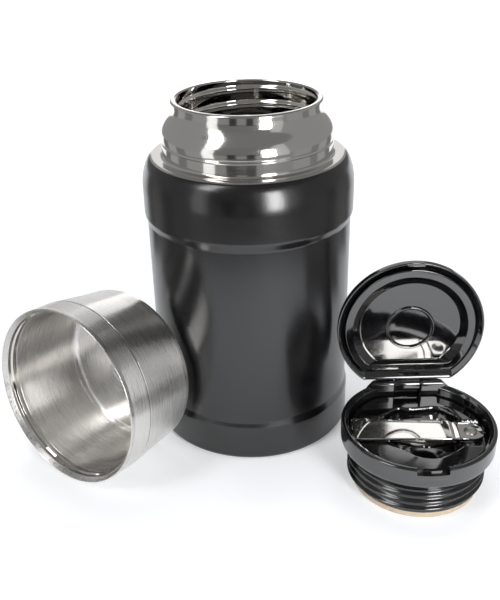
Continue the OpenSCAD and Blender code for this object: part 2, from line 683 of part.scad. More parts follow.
// Head of the spork: shank with the rivet's hole, bowl, and four tines
module spork_head() {
    color("#d9dbde") spork_place() translate([0, 0, head_z]) difference() {
        union() {
            head_sheet();
            linear_extrude(head_t) union() {
                translate([rivet_x, 0]) circle(r = pivot_end_r - 0.3);
                polygon([[rivet_x, pivot_end_r - 0.3], [bowl_x - 0.4, shank_hw],
                         [bowl_x - 0.4, -shank_hw], [rivet_x, -pivot_end_r + 0.3]]);
            }
        }
        translate([rivet_x, 0, -1]) cylinder(r = rivet_r + run_gap, h = head_t + 2);
        for (k = [-1 : 1]) translate([tip_x, k * head_w * 0.19, 0]) {
            translate([-1, -tine_gap / 2, -head_depth - 1]) cube([tine_l, tine_gap, head_depth + 4]);
            translate([tine_l - 1, 0, -head_depth - 1]) cylinder(r = tine_gap / 2, h = head_depth + 4);
        }
    }
}

// Rivet that the head turns on, with a domed head above and below
module spork_rivet() {
    cap_r = rivet_r + 1.9;
    low = head_z - run_gap;
    color("#bfc2c5") spork_place() translate([rivet_x, 0, 0]) rotate_extrude() polygon([
        [0, spork_z + 0.8], [cap_r - 1.4, spork_z + 0.7], [cap_r, spork_z + 0.1], [cap_r, spork_z],
        [rivet_r, spork_z], [rivet_r, low], [cap_r - 0.6, low], [cap_r - 0.8, low - 0.1], [0, low - 0.1]]);
}

module spork_washer() {
    color("#a9acaf") spork_place() translate([rivet_x, 0, head_z + head_t + 0.1]) difference() {
        cylinder(r = rivet_r + 2.4, h = washer_t - 0.1);
        translate([0, 0, -1]) cylinder(r = rivet_r, h = washer_t + 2);
    }
}

outer_shell();
shell_bottom();
base_cap();
seal_pellet();
getter();
inner_vessel();
neck_collar();
cup_shell();
cup_liner();
bowl_shell();
threaded_plug();
foam_disc();
seal_ring();
utensil_tray();
hinge_pin();
lid_cover();
lid_liner();
spork_handle();
spork_head();
spork_rivet();
spork_washer();
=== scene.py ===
"""Looks of an insulated food jar with its drinking cup and flip-lid stopper.

Shapes are worked out in millimetres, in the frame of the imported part, and scaled to metres when they
become meshes.
"""

import bmesh
import bpy
import numpy as np
from mathutils import Matrix, Vector


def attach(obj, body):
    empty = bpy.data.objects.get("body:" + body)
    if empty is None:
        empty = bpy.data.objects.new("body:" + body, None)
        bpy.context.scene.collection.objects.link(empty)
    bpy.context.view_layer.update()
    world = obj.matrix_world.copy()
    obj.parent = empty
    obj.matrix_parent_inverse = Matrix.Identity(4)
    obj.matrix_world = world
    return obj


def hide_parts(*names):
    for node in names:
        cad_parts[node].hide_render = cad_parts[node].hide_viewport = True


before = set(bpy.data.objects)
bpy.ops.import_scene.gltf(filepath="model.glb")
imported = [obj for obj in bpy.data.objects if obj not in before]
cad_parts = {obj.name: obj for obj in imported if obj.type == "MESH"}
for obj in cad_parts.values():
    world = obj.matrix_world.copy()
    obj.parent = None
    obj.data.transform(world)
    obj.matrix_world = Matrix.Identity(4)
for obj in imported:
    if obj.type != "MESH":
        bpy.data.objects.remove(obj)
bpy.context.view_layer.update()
scene = bpy.context.scene

PI = np.pi
MM = 0.001

# ---------------------------------------------------------------- sizes, in millimetres
BODY_R, SHOULDER_R, BASE_R, FOOT_R = 50.0, 51.2, 51.0, 44.4
LEDGE_Z, LEDGE_R, POLISH_R, SHOULDER_H = 145.4, 45.0, 46.8, 14.9
RIM_Z, RIM_R, MOUTH_R, BULGE_R, COLLAR_R, LIP_Z = 171.4, 35.9, 33.0, 41.6, 41.0, 153.2
SEAT_Z, SEAT_R, VESSEL_R, FLOOR_Z, WALL = 152.5, 27.6, 46.6, 14.0, 0.6

CUP_AT, CUP_TURN, CUP_LEAN = (-89.9, -58.6, 45.148), 54.0, 6.364
CUP_IN_R, CUP_RING_R, CUP_RING_H, CUP_WALL_R, CUP_CORNER_R = 41.9, 44.0, 12.8, 41.1, 8.0
CUP_H, CUP_DEPTH = 46.8, 44.4

STOP_AT = (77.7, -65.7)
STOP_R, BOWL_R, RIM_TOP, PLUG_R, SEAL_R, SKIRT_Z = 36.3, 32.7, 32.2, 31.2, 30.1, 18.7
TRAY_Z, TRAY_SEAT_Z, TRAY_CUT = 26.5, 23.6, 28.2
NOTCH_HW, NOTCH_Z, CATCH_HW, CATCH_Z = 7.2, 29.4, 4.4, 30.7
HINGE_Y, HINGE_Z, EAR_IN, EAR_OUT, EAR_TOP = 31.2, 32.3, 6.5, 20.5, 34.6
LID_R, LID_CHORD, LID_CORNER_R, LID_Z, LID_TOP, LID_OPEN = 35.8, 28.2, 2.5, 32.5, 36.8, 91.0
SPORK_TURN, SPORK_Y, SPORK_Z, HEAD_Z, RIVET_X = -3.5, -0.5, 28.2, 25.3, 24.5


# ---------------------------------------------------------------- shape tools
def smooth(t):
    """Smooth step: 3t squared minus 2t cubed, with t held between 0 and 1."""
    t = np.clip(t, 0, 1)
    return t * t * (3 - 2 * t)


def rounded(corners, closed=True):
    """Profile of straight runs with rounded corners, each corner (across, up, fillet radius).

    A fillet of radius f touches both runs at f / tan(half the corner's angle) from the corner, and its
    points lie on that circle every 10 degrees or so. Each long run gets a point near both of its ends,
    which keeps the shading of the flat part flat.
    """
    spots = np.array([c[:2] for c in corners], float)
    radii = [c[2] if len(c) > 2 else 0 for c in corners]
    path = []
    for k, spot in enumerate(spots):
        if radii[k] <= 0 or (not closed and k in (0, len(spots) - 1)):
            path.append(spot)
            continue
        back, ahead = spots[k - 1] - spot, spots[(k + 1) % len(spots)] - spot
        room = min(np.linalg.norm(back), np.linalg.norm(ahead))
        back, ahead = back / np.linalg.norm(back), ahead / np.linalg.norm(ahead)
        half = np.arccos(np.clip(back @ ahead, -1, 1)) / 2
        reach = min(radii[k] / np.tan(half), 0.49 * room)
        radius = reach * np.tan(half)
        middle = spot + (back + ahead) / np.linalg.norm(back + ahead) * radius / np.sin(half)
        start, end = spot + back * reach - middle, spot + ahead * reach - middle
        turn = np.arctan2(start[0] * end[1] - start[1] * end[0], start @ end)
        steps = max(3, int(abs(turn) / 0.17))
        a = np.arctan2(start[1], start[0]) + turn * np.linspace(0, 1, steps + 1)
        path.extend(middle + radius * np.stack([np.cos(a), np.sin(a)], 1))
    if closed:
        path.append(path[0])
    path = np.array(path)
    run = np.diff(path, axis=0)
    length = np.linalg.norm(run, axis=1)
    path, run, length = path[np.r_[True, length > 1e-6]], run[length > 1e-6], length[length > 1e-6]
    nudge = np.where(length > 1.4, 0.35 / np.maximum(length, 1e-9), np.nan)[:, None]
    near, far = path[:-1] + run * nudge, path[1:] - run * nudge
    rows = np.concatenate([np.stack([path[:-1], near, far], 1).reshape(-1, 2), path[-1:]])
    return rows[~np.isnan(rows[:, 0])]


def turned(profile, turns=224, warp=None, angles=None):
    """Surface of revolution: at angle u, a profile point (r, z) goes to (r cos u, r sin u, z).

    warp(u, r, z) may first change r and z with the angle, as a thread or a notch does.
    """
    u = np.linspace(0, 2 * PI, turns + 1) if angles is None else angles
    r, z = (np.repeat(profile[None, :, k], len(u), 0) for k in (0, 1))
    if warp:
        r, z = warp(u[:, None], r, z)
    return np.stack([r * np.cos(u)[:, None], r * np.sin(u)[:, None], z], -1)


def lofted(outline, rings, middle=(0, 0)):
    """Surface through copies of a closed outline: ring (inset, shrink, z) puts the outline drawn in by
    inset, then scaled by shrink about the middle, at height z."""
    c = np.array(middle, float)
    loops = [np.c_[c + (outline(inset) - c) * shrink, np.full(len(outline(inset)), z)]
             for inset, shrink, z in rings]
    return np.stack(loops, 1)


def placed(points, matrix):
    """Each point times the rotation part of the matrix, plus its shift."""
    m = np.array(matrix)
    return points @ m[:3, :3].T + m[:3, 3]


def piece(name, grid, material, body, replaces=(), wrap=None, sharp=38, uv_radius=None):
    """Mesh from a grid of points whose first direction closes on itself.

    The second direction closes too where its first and last rows are the same. The UV map is the way
    along each direction in metres: the angle share times 2 pi uv_radius, and the length of the profile.
    """
    grid = np.asarray(grid, float)
    n, rows = grid.shape[0] - 1, grid.shape[1]
    ring = np.allclose(grid[:, 0], grid[:, -1]) if wrap is None else wrap
    m = rows - 1 if ring else rows
    i, j = np.meshgrid(np.arange(n), np.arange(rows - 1), indexing="ij")
    i, j = i.ravel(), j.ravel()
    corner_i = np.stack([i, i + 1, i + 1, i], 1)
    corner_j = np.stack([j, j, j + 1, j + 1], 1)
    faces = corner_i % n * m + (corner_j % m if ring else corner_j)
    along = np.r_[0, np.cumsum(np.linalg.norm(np.diff(grid, axis=1), axis=2).mean(0))] * MM
    if uv_radius is None:
        across = np.r_[0, np.cumsum(np.linalg.norm(np.diff(grid, axis=0), axis=2).max(1))] * MM
    else:
        across = np.linspace(0, 2 * PI * uv_radius * MM, n + 1)
    mesh = bpy.data.meshes.new(name)
    mesh.from_pydata((grid[:n, :m].reshape(-1, 3) * MM).tolist(), [], faces.tolist())
    layer = mesh.uv_layers.new(name="UVMap")
    layer.data.foreach_set("uv", np.stack([across[corner_i], along[corner_j]], -1).ravel())
    return finished(name, mesh, material, body, replaces, sharp)


def finished(name, mesh, material, body, replaces=(), sharp=38):
    """Merges doubles, turns the faces outwards, shades them, and sets the piece on its body."""
    work = bmesh.new()
    work.from_mesh(mesh)
    bmesh.ops.remove_doubles(work, verts=work.verts, dist=2e-6)
    bmesh.ops.recalc_face_normals(work, faces=work.faces)
    work.to_mesh(mesh)
    work.free()
    mesh.shade_smooth()
    mesh.set_sharp_from_angle(angle=np.radians(sharp))
    mesh.materials.append(material)
    obj = bpy.data.objects.new(name, mesh)
    scene.collection.objects.link(obj)
    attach(obj, body)
    if replaces:
        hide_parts(*replaces)
    return obj


# ---------------------------------------------------------------- materials
def linear(code):
    """An sRGB hex colour as linear red, green, blue and 1: ((c + 0.055) / 1.055) to the power 2.4, or
    c / 12.92 where c is at most 0.04045."""
    c = np.array([int(code[k:k + 2], 16) for k in (1, 3, 5)]) / 255
    return (*np.where(c <= 0.04045, c / 12.92, ((c + 0.055) / 1.055) ** 2.4), 1.0)


def add(tree, kind, inputs=(), links=(), **settings):
    """One node with its settings, its fixed inputs {socket: value} and its links {socket: output}."""
    node = tree.nodes.new(kind)
    for key, value in settings.items():
        setattr(node, key, value)
    for key, value in dict(inputs).items():
        node.inputs[key].default_value = value
    for key, output in dict(links).items():
        tree.links.new(output, node.inputs[key])
    return node


def new_material(name, **sockets):
    """A material with a Principled surface whose sockets are set from the keywords."""
    material = bpy.data.materials.new(name)
    material.use_nodes = True
    tree = material.node_tree
    tree.nodes.clear()
    shader = add(tree, "ShaderNodeBsdfPrincipled",
                 {key.replace("_", " "): value for key, value in sockets.items()})
    add(tree, "ShaderNodeOutputMaterial", links={"Surface": shader.outputs[0]})
    return material, tree, shader


def grain(tree, shader, scale, detail, bump, rough=(0.0, 0.0), stretch=None, uv=False, tone=None,
          distance=0.0001):
    """Noise at a scale per metre that moves the bump, the roughness range and the colour range."""
    where = add(tree, "ShaderNodeTexCoord").outputs["UV" if uv else "Object"]
    if stretch:
        where = add(tree, "ShaderNodeMapping", {"Scale": stretch}, {"Vector": where}).outputs[0]
    noise = add(tree, "ShaderNodeTexNoise", {"Scale": scale, "Detail": detail, "Roughness": 0.6},
                {"Vector": where})
    if bump:
        knob = add(tree, "ShaderNodeBump", {"Strength": bump, "Distance": distance},
                   {"Height": noise.outputs["Fac"]})
        tree.links.new(knob.outputs[0], shader.inputs["Normal"])
    if rough[1]:
        spread = add(tree, "ShaderNodeMapRange", {"From Min": 0.3, "From Max": 0.7, "To Min": rough[0],
                                                  "To Max": rough[1]}, {"Value": noise.outputs["Fac"]})
        tree.links.new(spread.outputs[0], shader.inputs["Roughness"])
    if tone:
        ramp = add(tree, "ShaderNodeValToRGB", links={"Fac": noise.outputs["Fac"]})
        ramp.color_ramp.elements[0].position, ramp.color_ramp.elements[1].position = 0.3, 0.7
        ramp.color_ramp.elements[0].color, ramp.color_ramp.elements[1].color = map(linear, tone)
        tree.links.new(ramp.outputs[0], shader.inputs["Base Color"])
    return noise


# Satin powder coat: baked polyester powder, fine orange-peel grain of about 0.7 mm and a soft sheen
powder_coat, tree, shader = new_material("satin_black_powder_coat", IOR=1.66, Roughness=0.22)
grain(tree, shader, 1500, 3, 0.14, (0.19, 0.25), tone=("#070709", "#0a0a0c"))

# Mirror-polished 304 steel: buffed until reflections are sharp, with a slight waviness about 11 mm across
mirror_steel, tree, shader = new_material("mirror_polished_steel", Metallic=1.0, Roughness=0.05)
shader.inputs["Base Color"].default_value = linear("#d2d0cc")
grain(tree, shader, 90, 3, 0.05, (0.035, 0.075), distance=0.0003)

# Lathe-buffed steel of the neck: the wheel turned round it, so bright shapes in it have soft edges
buffed_steel, tree, shader = new_material("lathe_buffed_steel", Metallic=1.0, Roughness=0.1)
shader.inputs["Base Color"].default_value = linear("#d2d0cc")
grain(tree, shader, 1.0, 3, 0.05, (0.08, 0.13), stretch=(60, 1500, 1), uv=True, distance=0.0001)

# Brushed 304 steel: belt-ground while it turned, so fine scratches run round the axis and reflections
# smear along it; the scratches are drawn 0.35 mm apart, as coarse as they need to be to show
brushed_steel, tree, shader = new_material("circular_brushed_steel", Metallic=1.0, Roughness=0.29,
                                           Anisotropic=0.95, Anisotropic_Rotation=0.25)
grain(tree, shader, 1.0, 3, 0.06, (0.25, 0.32), stretch=(45, 2800, 1), uv=True,
      tone=("#dad8d5", "#e6e4e1"), distance=0.0001)
tangent = add(tree, "ShaderNodeTangent", direction_type="UV_MAP", uv_map="UVMap")
tree.links.new(tangent.outputs[0], shader.inputs["Tangent"])

# Satin steel lip of the cup, left a little duller and greyer by the rolling tool
lip_steel, tree, shader = new_material("rolled_steel_lip", Metallic=1.0, Roughness=0.34)
grain(tree, shader, 700, 2, 0.05, (0.26, 0.34), tone=("#c9c7c4", "#d6d4d1"))

# Steel at the bottom of the groove round the cup, painted dark and mottled: painted shade for the groove
groove_shade_steel, tree, shader = new_material("groove_steel_painted_shade", Metallic=0.6, Roughness=0.6)
grain(tree, shader, 1200, 2, 0.1, (0.5, 0.7), tone=("#2c2b2b", "#4a4948"))

# Peened rivet head: hammered steel, which scatters reflections into a pale satin
peened_steel, tree, shader = new_material("peened_rivet_steel", Metallic=1.0, Roughness=0.3)
grain(tree, shader, 900, 3, 0.2, (0.26, 0.36), tone=("#d2d0cd", "#e2e0dd"))

# Plain pressed steel: cold-rolled sheet as it leaves the press, dull grey with slight mottling
pressed_steel, tree, shader = new_material("pressed_steel_sheet", Metallic=1.0, Roughness=0.38)
grain(tree, shader, 260, 4, 0.1, (0.32, 0.46), tone=("#8d8f90", "#a9abac"))

# Gloss black polypropylene: injection moulded in a polished tool, nearly flat and mirror-like
gloss_black, tree, shader = new_material("gloss_black_polypropylene", IOR=1.95, Roughness=0.06)
grain(tree, shader, 120, 2, 0.03, (0.045, 0.08), tone=("#0a0a0b", "#0d0d0f"), distance=0.0002)

# Satin black polypropylene: moulded in a tool that is turned but not polished
satin_black, tree, shader = new_material("satin_black_polypropylene", IOR=1.75, Roughness=0.16)
grain(tree, shader, 600, 2, 0.04, (0.13, 0.19), tone=("#0a0a0b", "#0e0e10"))

# Closed-cell foam: pale, dull and pitted
foam_white, tree, shader = new_material("closed_cell_foam", IOR=1.4, Roughness=0.9)
grain(tree, shader, 900, 4, 0.5, tone=("#d9d2bf", "#efe9d8"), distance=0.0004)

# Moulded silicone rubber: beige, slightly translucent, with a soft dusty surface
silicone_beige, tree, shader = new_material("beige_silicone_rubber", IOR=1.41, Roughness=0.5,
                                            Subsurface_Weight=0.15, Subsurface_Scale=0.002)
grain(tree, shader, 700, 3, 0.1, (0.44, 0.56), tone=("#c3b29d", "#cebda9"))

# Solder glass: fused frit, dark grey and glossy
solder_glass, tree, shader = new_material("fused_solder_glass", IOR=1.6, Roughness=0.2)
grain(tree, shader, 800, 3, 0.1, (0.15, 0.3), tone=("#565a55", "#6d726c"))

for node, material in {
        "outer_shell": powder_coat, "shell_bottom": pressed_steel, "base_cap": pressed_steel,
        "seal_pellet": solder_glass, "getter": pressed_steel, "inner_vessel": mirror_steel,
        "neck_collar": buffed_steel, "cup_shell": brushed_steel, "cup_liner": brushed_steel,
        "bowl_shell": gloss_black, "threaded_plug": satin_black, "foam_disc": foam_white,
        "seal_ring": silicone_beige, "utensil_tray": gloss_black, "hinge_pin": pressed_steel,
        "lid_cover": gloss_black, "lid_liner": gloss_black, "spork_handle": mirror_steel,
        "spork_head": mirror_steel, "spork_rivet": peened_steel, "spork_washer": pressed_steel}.items():
    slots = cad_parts[node].data.materials
    slots.clear()
    slots.append(material)


# ---------------------------------------------------------------- jar
def shoulder(drop, start_r, stop_r, count=36):
    """The shoulder's elliptical arc about the ledge's edge, with both half axes shortened by a drop,
    between two radii: at radius r the angle's cosine is (r - ledge radius) / half axis."""
    a, b = SHOULDER_R - LEDGE_R - drop, SHOULDER_H - drop
    t = np.linspace(np.arccos((start_r - LEDGE_R) / a), np.arccos((stop_r - LEDGE_R) / a), count)
    return np.stack([LEDGE_R + a * np.cos(t), LEDGE_Z - SHOULDER_H + b * np.sin(t)], 1)


def jar_shell():
    """Coated wall: foot, base band, wall, shoulder band and shoulder, and the same line 0.6 mm inside."""
    outside = rounded([(FOOT_R, 0.6), (FOOT_R, 0, 0.25), (BASE_R, 0, 2.4), (BASE_R, 18.6, 4),
                       (BODY_R, 21.8, 4), (BODY_R, 114.2, 4), (SHOULDER_R, 117.6, 5),
                       (SHOULDER_R, 130.4)], closed=False)
    inside = rounded([(SHOULDER_R - WALL, 130.4), (SHOULDER_R - WALL, 117.8, 5),
                      (BODY_R - WALL, 114.4, 4), (BODY_R - WALL, 21.6, 4), (BASE_R - WALL, 18.4, 4),
                      (BASE_R - WALL, WALL, 1.8), (FOOT_R, WALL)], closed=False)
    path = np.concatenate([outside, shoulder(0, SHOULDER_R, POLISH_R)[1:],
                           shoulder(WALL, POLISH_R, SHOULDER_R - WALL), inside[1:]])
    piece("jar_shell", turned(path, 256), powder_coat, "jar", ["outer_shell"],
          uv_radius=BODY_R)


def neck_line(drop):
    """The neck's double curve from rim to bulge: the radius goes from rim to bulge by half of one minus
    the cosine of pi times the share of the way down, drawn in by a drop."""
    t = np.linspace(0, 1, 56)
    return np.stack([RIM_R - drop + (BULGE_R - RIM_R) * (1 - np.cos(PI * t)) / 2,
                     RIM_Z - 2.9 + (LIP_Z + 1.5 - RIM_Z + 2.9) * t], 1)


def jar_neck():
    """Bare steel neck: rolled rim, double curve, bulge, bead, collar, cove and polished ledge."""
    outside = rounded([(MOUTH_R + WALL, RIM_Z - 4), (MOUTH_R + WALL, RIM_Z, 0.7), (RIM_R, RIM_Z, 1.2),
                       (RIM_R, RIM_Z - 2.9)], closed=False)
    foot = rounded([(BULGE_R, LIP_Z + 1.5), (BULGE_R, LIP_Z, 0.5), (BULGE_R - 0.9, LIP_Z - 0.35, 0.2),
                    (BULGE_R - 0.35, LIP_Z - 1.3, 0.35), (COLLAR_R, LIP_Z - 1.8, 0.3),
                    (COLLAR_R, LEDGE_Z, 1.2), (LEDGE_R, LEDGE_Z)], closed=False)
    lower = rounded([(LEDGE_R, LEDGE_Z - WALL), (COLLAR_R - WALL, LEDGE_Z - WALL, 1.4),
                     (COLLAR_R - WALL, LIP_Z - 1.0, 0.5), (BULGE_R - WALL, LIP_Z + 0.4, 0.6),
                     (BULGE_R - WALL, LIP_Z + 1.5)], closed=False)
    path = np.concatenate([outside, neck_line(0)[1:], foot[1:], shoulder(0, LEDGE_R, POLISH_R, 12)[1:],
                           shoulder(WALL, POLISH_R, LEDGE_R, 12), lower[1:], neck_line(WALL)[::-1][1:],
                           [[RIM_R - WALL, RIM_Z - 4], [MOUTH_R + WALL, RIM_Z - 4]]])
    piece("jar_neck", turned(path, 256), buffed_steel, "jar", ["neck_collar"],
          uv_radius=BULGE_R)


def mouth_thread(u, r, z):
    """Rolled thread: the wall moves in by 0.95 mm times the cosine squared across a 4.2 mm ridge that
    follows a helix falling 7.6 mm a turn, and fades out at the rim and the seat."""
    lead, pitch = 167.0 - 7.6 * ((u - PI / 2) / (2 * PI) % 1.0), 7.6
    off = (z - lead + pitch / 2) % pitch - pitch / 2
    ridge = np.where(np.abs(off) < 2.1, np.cos(PI * off / 4.2) ** 2, 0)
    fade = smooth((RIM_Z - 1.6 - z) / 2.5) * smooth((z - SEAT_Z - 2.0) / 2.5)
    return r - 0.95 * ridge * fade * (np.abs(r - MOUTH_R) < 0.31), z


def jar_vessel():
    """Inner vessel: threaded mouth, folded seat, straight wall and round-cornered bottom."""
    wall_z = np.linspace(RIM_Z - 0.6, SEAT_Z + 1.2, 90)
    mouth = np.stack([np.full(90, MOUTH_R), wall_z], 1)
    inner = rounded([(MOUTH_R, SEAT_Z + 1.2), (MOUTH_R, SEAT_Z, 1.0), (SEAT_R, SEAT_Z, 0.9),
                     (SEAT_R, SEAT_Z - 2.4, 0.9), (VESSEL_R - WALL, 136, 10),
                     (VESSEL_R - WALL, FLOOR_Z, 8), (0, FLOOR_Z)], closed=False)
    outer = rounded([(0, FLOOR_Z - WALL), (VESSEL_R, FLOOR_Z - WALL, 8.6), (VESSEL_R, 136.2, 10),
                     (SEAT_R + 1.3 * WALL, SEAT_Z - 2.2, 0.5), (SEAT_R + 1.5 * WALL, SEAT_Z - WALL, 0.3),
                     (MOUTH_R + WALL, SEAT_Z - WALL, 1.4), (MOUTH_R + WALL, RIM_Z - 0.7)], closed=False)
    path = np.concatenate([mouth, inner[1:], outer, mouth[:1]])
    piece("jar_vessel", turned(path, 224, mouth_thread), mirror_steel, "jar",
          ["inner_vessel"], uv_radius=MOUTH_R)


# ---------------------------------------------------------------- cup
cup_place = Matrix.Translation(CUP_AT) @ (
    Matrix.Rotation(np.radians(CUP_TURN), 4, "Z") @ Matrix.Rotation(np.radians(90 + CUP_LEAN), 4, "Y"))


def cup_pieces():
    """Cup: profiles turned about the cup's own axis, then laid on its side. The outer wall is ground,
    the lip slopes in to a polished band with the snap ridge, and the inner wall and base are brushed."""
    lip = rounded([(CUP_IN_R + 0.6, 3.2), (CUP_IN_R + 0.04, 2.5, 0.3), (CUP_RING_R - 0.45, 0, 0.5),
                   (CUP_RING_R - 0.08, 0.3, 0.4), (CUP_RING_R - 0.06, 2.2), (CUP_RING_R - 0.6, 3.2)])
    piece("cup_lip", placed(turned(lip, 256), cup_place), lip_steel, "cup", uv_radius=43)
    outside = rounded([(CUP_RING_R - 0.06, 2.2), (CUP_RING_R, CUP_RING_H - 0.35, 0.12),
                       (CUP_RING_R - 0.5, CUP_RING_H - 0.2), (CUP_RING_R - 0.5, CUP_RING_H + 0.2),
                       (CUP_RING_R - 0.05, CUP_RING_H + 0.35, 0.12),
                       (CUP_WALL_R + 0.35, CUP_H - 12, 30), (CUP_WALL_R - 0.6, CUP_H, CUP_CORNER_R),
                       (30.5, CUP_H, 1.2), (29.4, CUP_H - 0.6, 1.2), (0, CUP_H - 0.6)], closed=False)
    hidden = rounded([(0, CUP_H - 1.2), (29.2, CUP_H - 1.2, 1), (30.6, CUP_H - 0.7, 1),
                      (CUP_WALL_R - 1.2, CUP_H - 0.6, CUP_CORNER_R - 0.6),
                      (CUP_RING_R - 1.3, CUP_RING_H, 1), (CUP_RING_R - 0.9, 3.2)], closed=False)
    piece("cup_outer", placed(turned(np.concatenate([outside, hidden, outside[:1]]), 256), cup_place),
          brushed_steel, "cup", ["cup_shell"], uv_radius=42)
    # The groove's bottom is a thin ring of steel painted dark, as painted shade in the groove
    gap = rounded([(CUP_RING_R - 0.56, CUP_RING_H - 0.26), (CUP_RING_R - 0.3, CUP_RING_H - 0.26),
                   (CUP_RING_R - 0.3, CUP_RING_H + 0.22), (CUP_RING_R - 0.56, CUP_RING_H + 0.22)])
    piece("cup_groove", placed(turned(gap, 256), cup_place), groove_shade_steel, "cup",
          uv_radius=43)
    mouth = rounded([(CUP_IN_R, 2.4), (CUP_IN_R, 3.9, 0.3), (CUP_IN_R - 0.7, 4.8, 0.35),
                     (CUP_IN_R - 0.7, 5.4, 0.35), (CUP_IN_R, 6.4, 0.35), (CUP_IN_R, 7.6),
                     (CUP_IN_R + 0.6, 7.6), (CUP_IN_R + 0.6, 2.4)])
    piece("cup_mouth_band", placed(turned(mouth, 256), cup_place), mirror_steel, "cup",
          uv_radius=42)
    low = 38.5
    inside = rounded([(CUP_IN_R + 0.02, 7.6), (CUP_IN_R - 0.12, 7.8, 0.1), (CUP_IN_R - 0.12, 10.4, 0.6),
                      (low, CUP_DEPTH, 3.6), (13, CUP_DEPTH, 0.4), (12.6, CUP_DEPTH + 0.18, 0.4),
                      (0, CUP_DEPTH + 0.18)], closed=False)
    behind = rounded([(0, CUP_DEPTH + 0.7), (low + 0.5, CUP_DEPTH + 0.6, 4), (CUP_IN_R + 0.6, 10.5, 0.6),
                      (CUP_IN_R + 0.6, 7.6), (CUP_IN_R + 0.02, 7.6)], closed=False)
    piece("cup_inner", placed(turned(np.concatenate([inside, behind[:-1], inside[:1]]), 256), cup_place),
          brushed_steel, "cup", ["cup_liner"], uv_radius=40)


# ---------------------------------------------------------------- stopper
stop_place = Matrix.Translation((*STOP_AT, 0))


def steps_at(edges, turns=224, width=0.0015):
    """Angles from 0 to 2 pi with two close ones at each edge, so that a step there is upright."""
    close = np.concatenate([[e - width, e + width] for e in edges]) % (2 * PI)
    u = np.linspace(0, 2 * PI, turns + 1)
    u = u[np.min(np.abs(u[:, None] - close[None]), 1) > 0.004]
    return np.sort(np.unique(np.r_[0, u, close, 2 * PI]))


def rim_notches(u, r, z):
    """Lowers the rim at the front to the finger notch's floor, or on the catch pad to the pad's top,
    and at the back below a cylinder of radius 5.4 mm about the hinge's axis. A moulded lip under the
    notch and the tool's parting line stand out 0.15 and 0.07 mm."""
    x, y = r * np.cos(u), r * np.sin(u)
    wide = x * STOP_R / np.maximum(r, 1e-6)
    front, back = (y < 0) & (np.abs(wide) < NOTCH_HW), (y > 0) & (np.abs(wide) < EAR_IN)
    pad = front & (np.abs(wide) < CATCH_HW) & (r < STOP_R - 1.95)
    skin = (r > STOP_R - 0.02) & (y < 0)
    r = r + 0.15 * skin * (np.abs(wide) < 6.2) * smooth(1.6 - np.abs(z - 27.9) / 0.35)
    r = r + 0.07 * skin * (np.abs(wide) < 0.14)
    z = np.where(front & ~pad, np.minimum(z, NOTCH_Z), z)
    z = np.where(pad, np.minimum(z, CATCH_Z), z)
    under = HINGE_Z - np.sqrt(np.maximum(5.4 ** 2 - (r - HINGE_Y) ** 2, 0))
    return r, np.where(back & (r > BOWL_R - 0.1), np.minimum(z, np.maximum(under, TRAY_SEAT_Z)), z)


def stopper_bowl():
    """Bowl of the stopper: straight outer wall, sloped skirt, rounded rim and deep well."""
    path = rounded([(0, 10.6), (26.4, 10.6, 1), (28.8, 13.2, 1), (28.8, SKIRT_Z, 0.3),
                    (PLUG_R + 2.2, SKIRT_Z, 0.8), (STOP_R, SKIRT_Z + 4.8, 2.4), (STOP_R, 27.3),
                    (STOP_R, 27.6), (STOP_R, 27.9), (STOP_R, 28.2), (STOP_R, 28.5),
                    (STOP_R, RIM_TOP, 0.9), (STOP_R - 1.9, RIM_TOP, 0.5),
                    (STOP_R - 2.2, RIM_TOP - 0.25, 0.3), (BOWL_R, RIM_TOP - 1.1, 0.8),
                    (BOWL_R, TRAY_SEAT_Z, 0.3), (28.6, TRAY_SEAT_Z, 0.4), (27.4, 14, 1.4),
                    (25.8, 12.1, 1), (0, 12.1)], closed=False)
    front, back = 1.5 * PI, PI / 2
    half = [np.arcsin(w / STOP_R) for w in (NOTCH_HW, CATCH_HW, 6.2, 0.14)]
    knuckle = np.arcsin(EAR_IN / STOP_R)
    edges = [front + side * h for h in half for side in (-1, 1)] + [back - knuckle, back + knuckle]
    grid = placed(turned(path, angles=steps_at(edges), warp=rim_notches), stop_place)
    piece("stopper_bowl", grid, gloss_black, "stopper", ["bowl_shell"], uv_radius=STOP_R)


def bar_along_x(section, x0, x1, edge=0.4, between=()):
    """A bar whose cross-section (y, z) runs from x0 to x1, drawn in towards its middle at both ends to
    round them: the rings shrink by the share that the edge radius is of the section's half size."""
    c = section.mean(0)
    size = np.abs(section - c).max()
    t = np.linspace(0, PI / 2, 5)
    way = np.sign(x1 - x0)
    x = np.r_[x0, x0 + way * edge * (1 - np.cos(t)), between, x1 - way * edge * (1 - np.cos(t[::-1])), x1]
    k = 1 - edge / size * (1 - np.sin(t))
    k = np.r_[0, k, np.ones(len(between)), k[::-1], 0]
    return np.stack([np.c_[np.full(len(section), xx), c + (section - c) * kk] for xx, kk in zip(x, k)], 1)


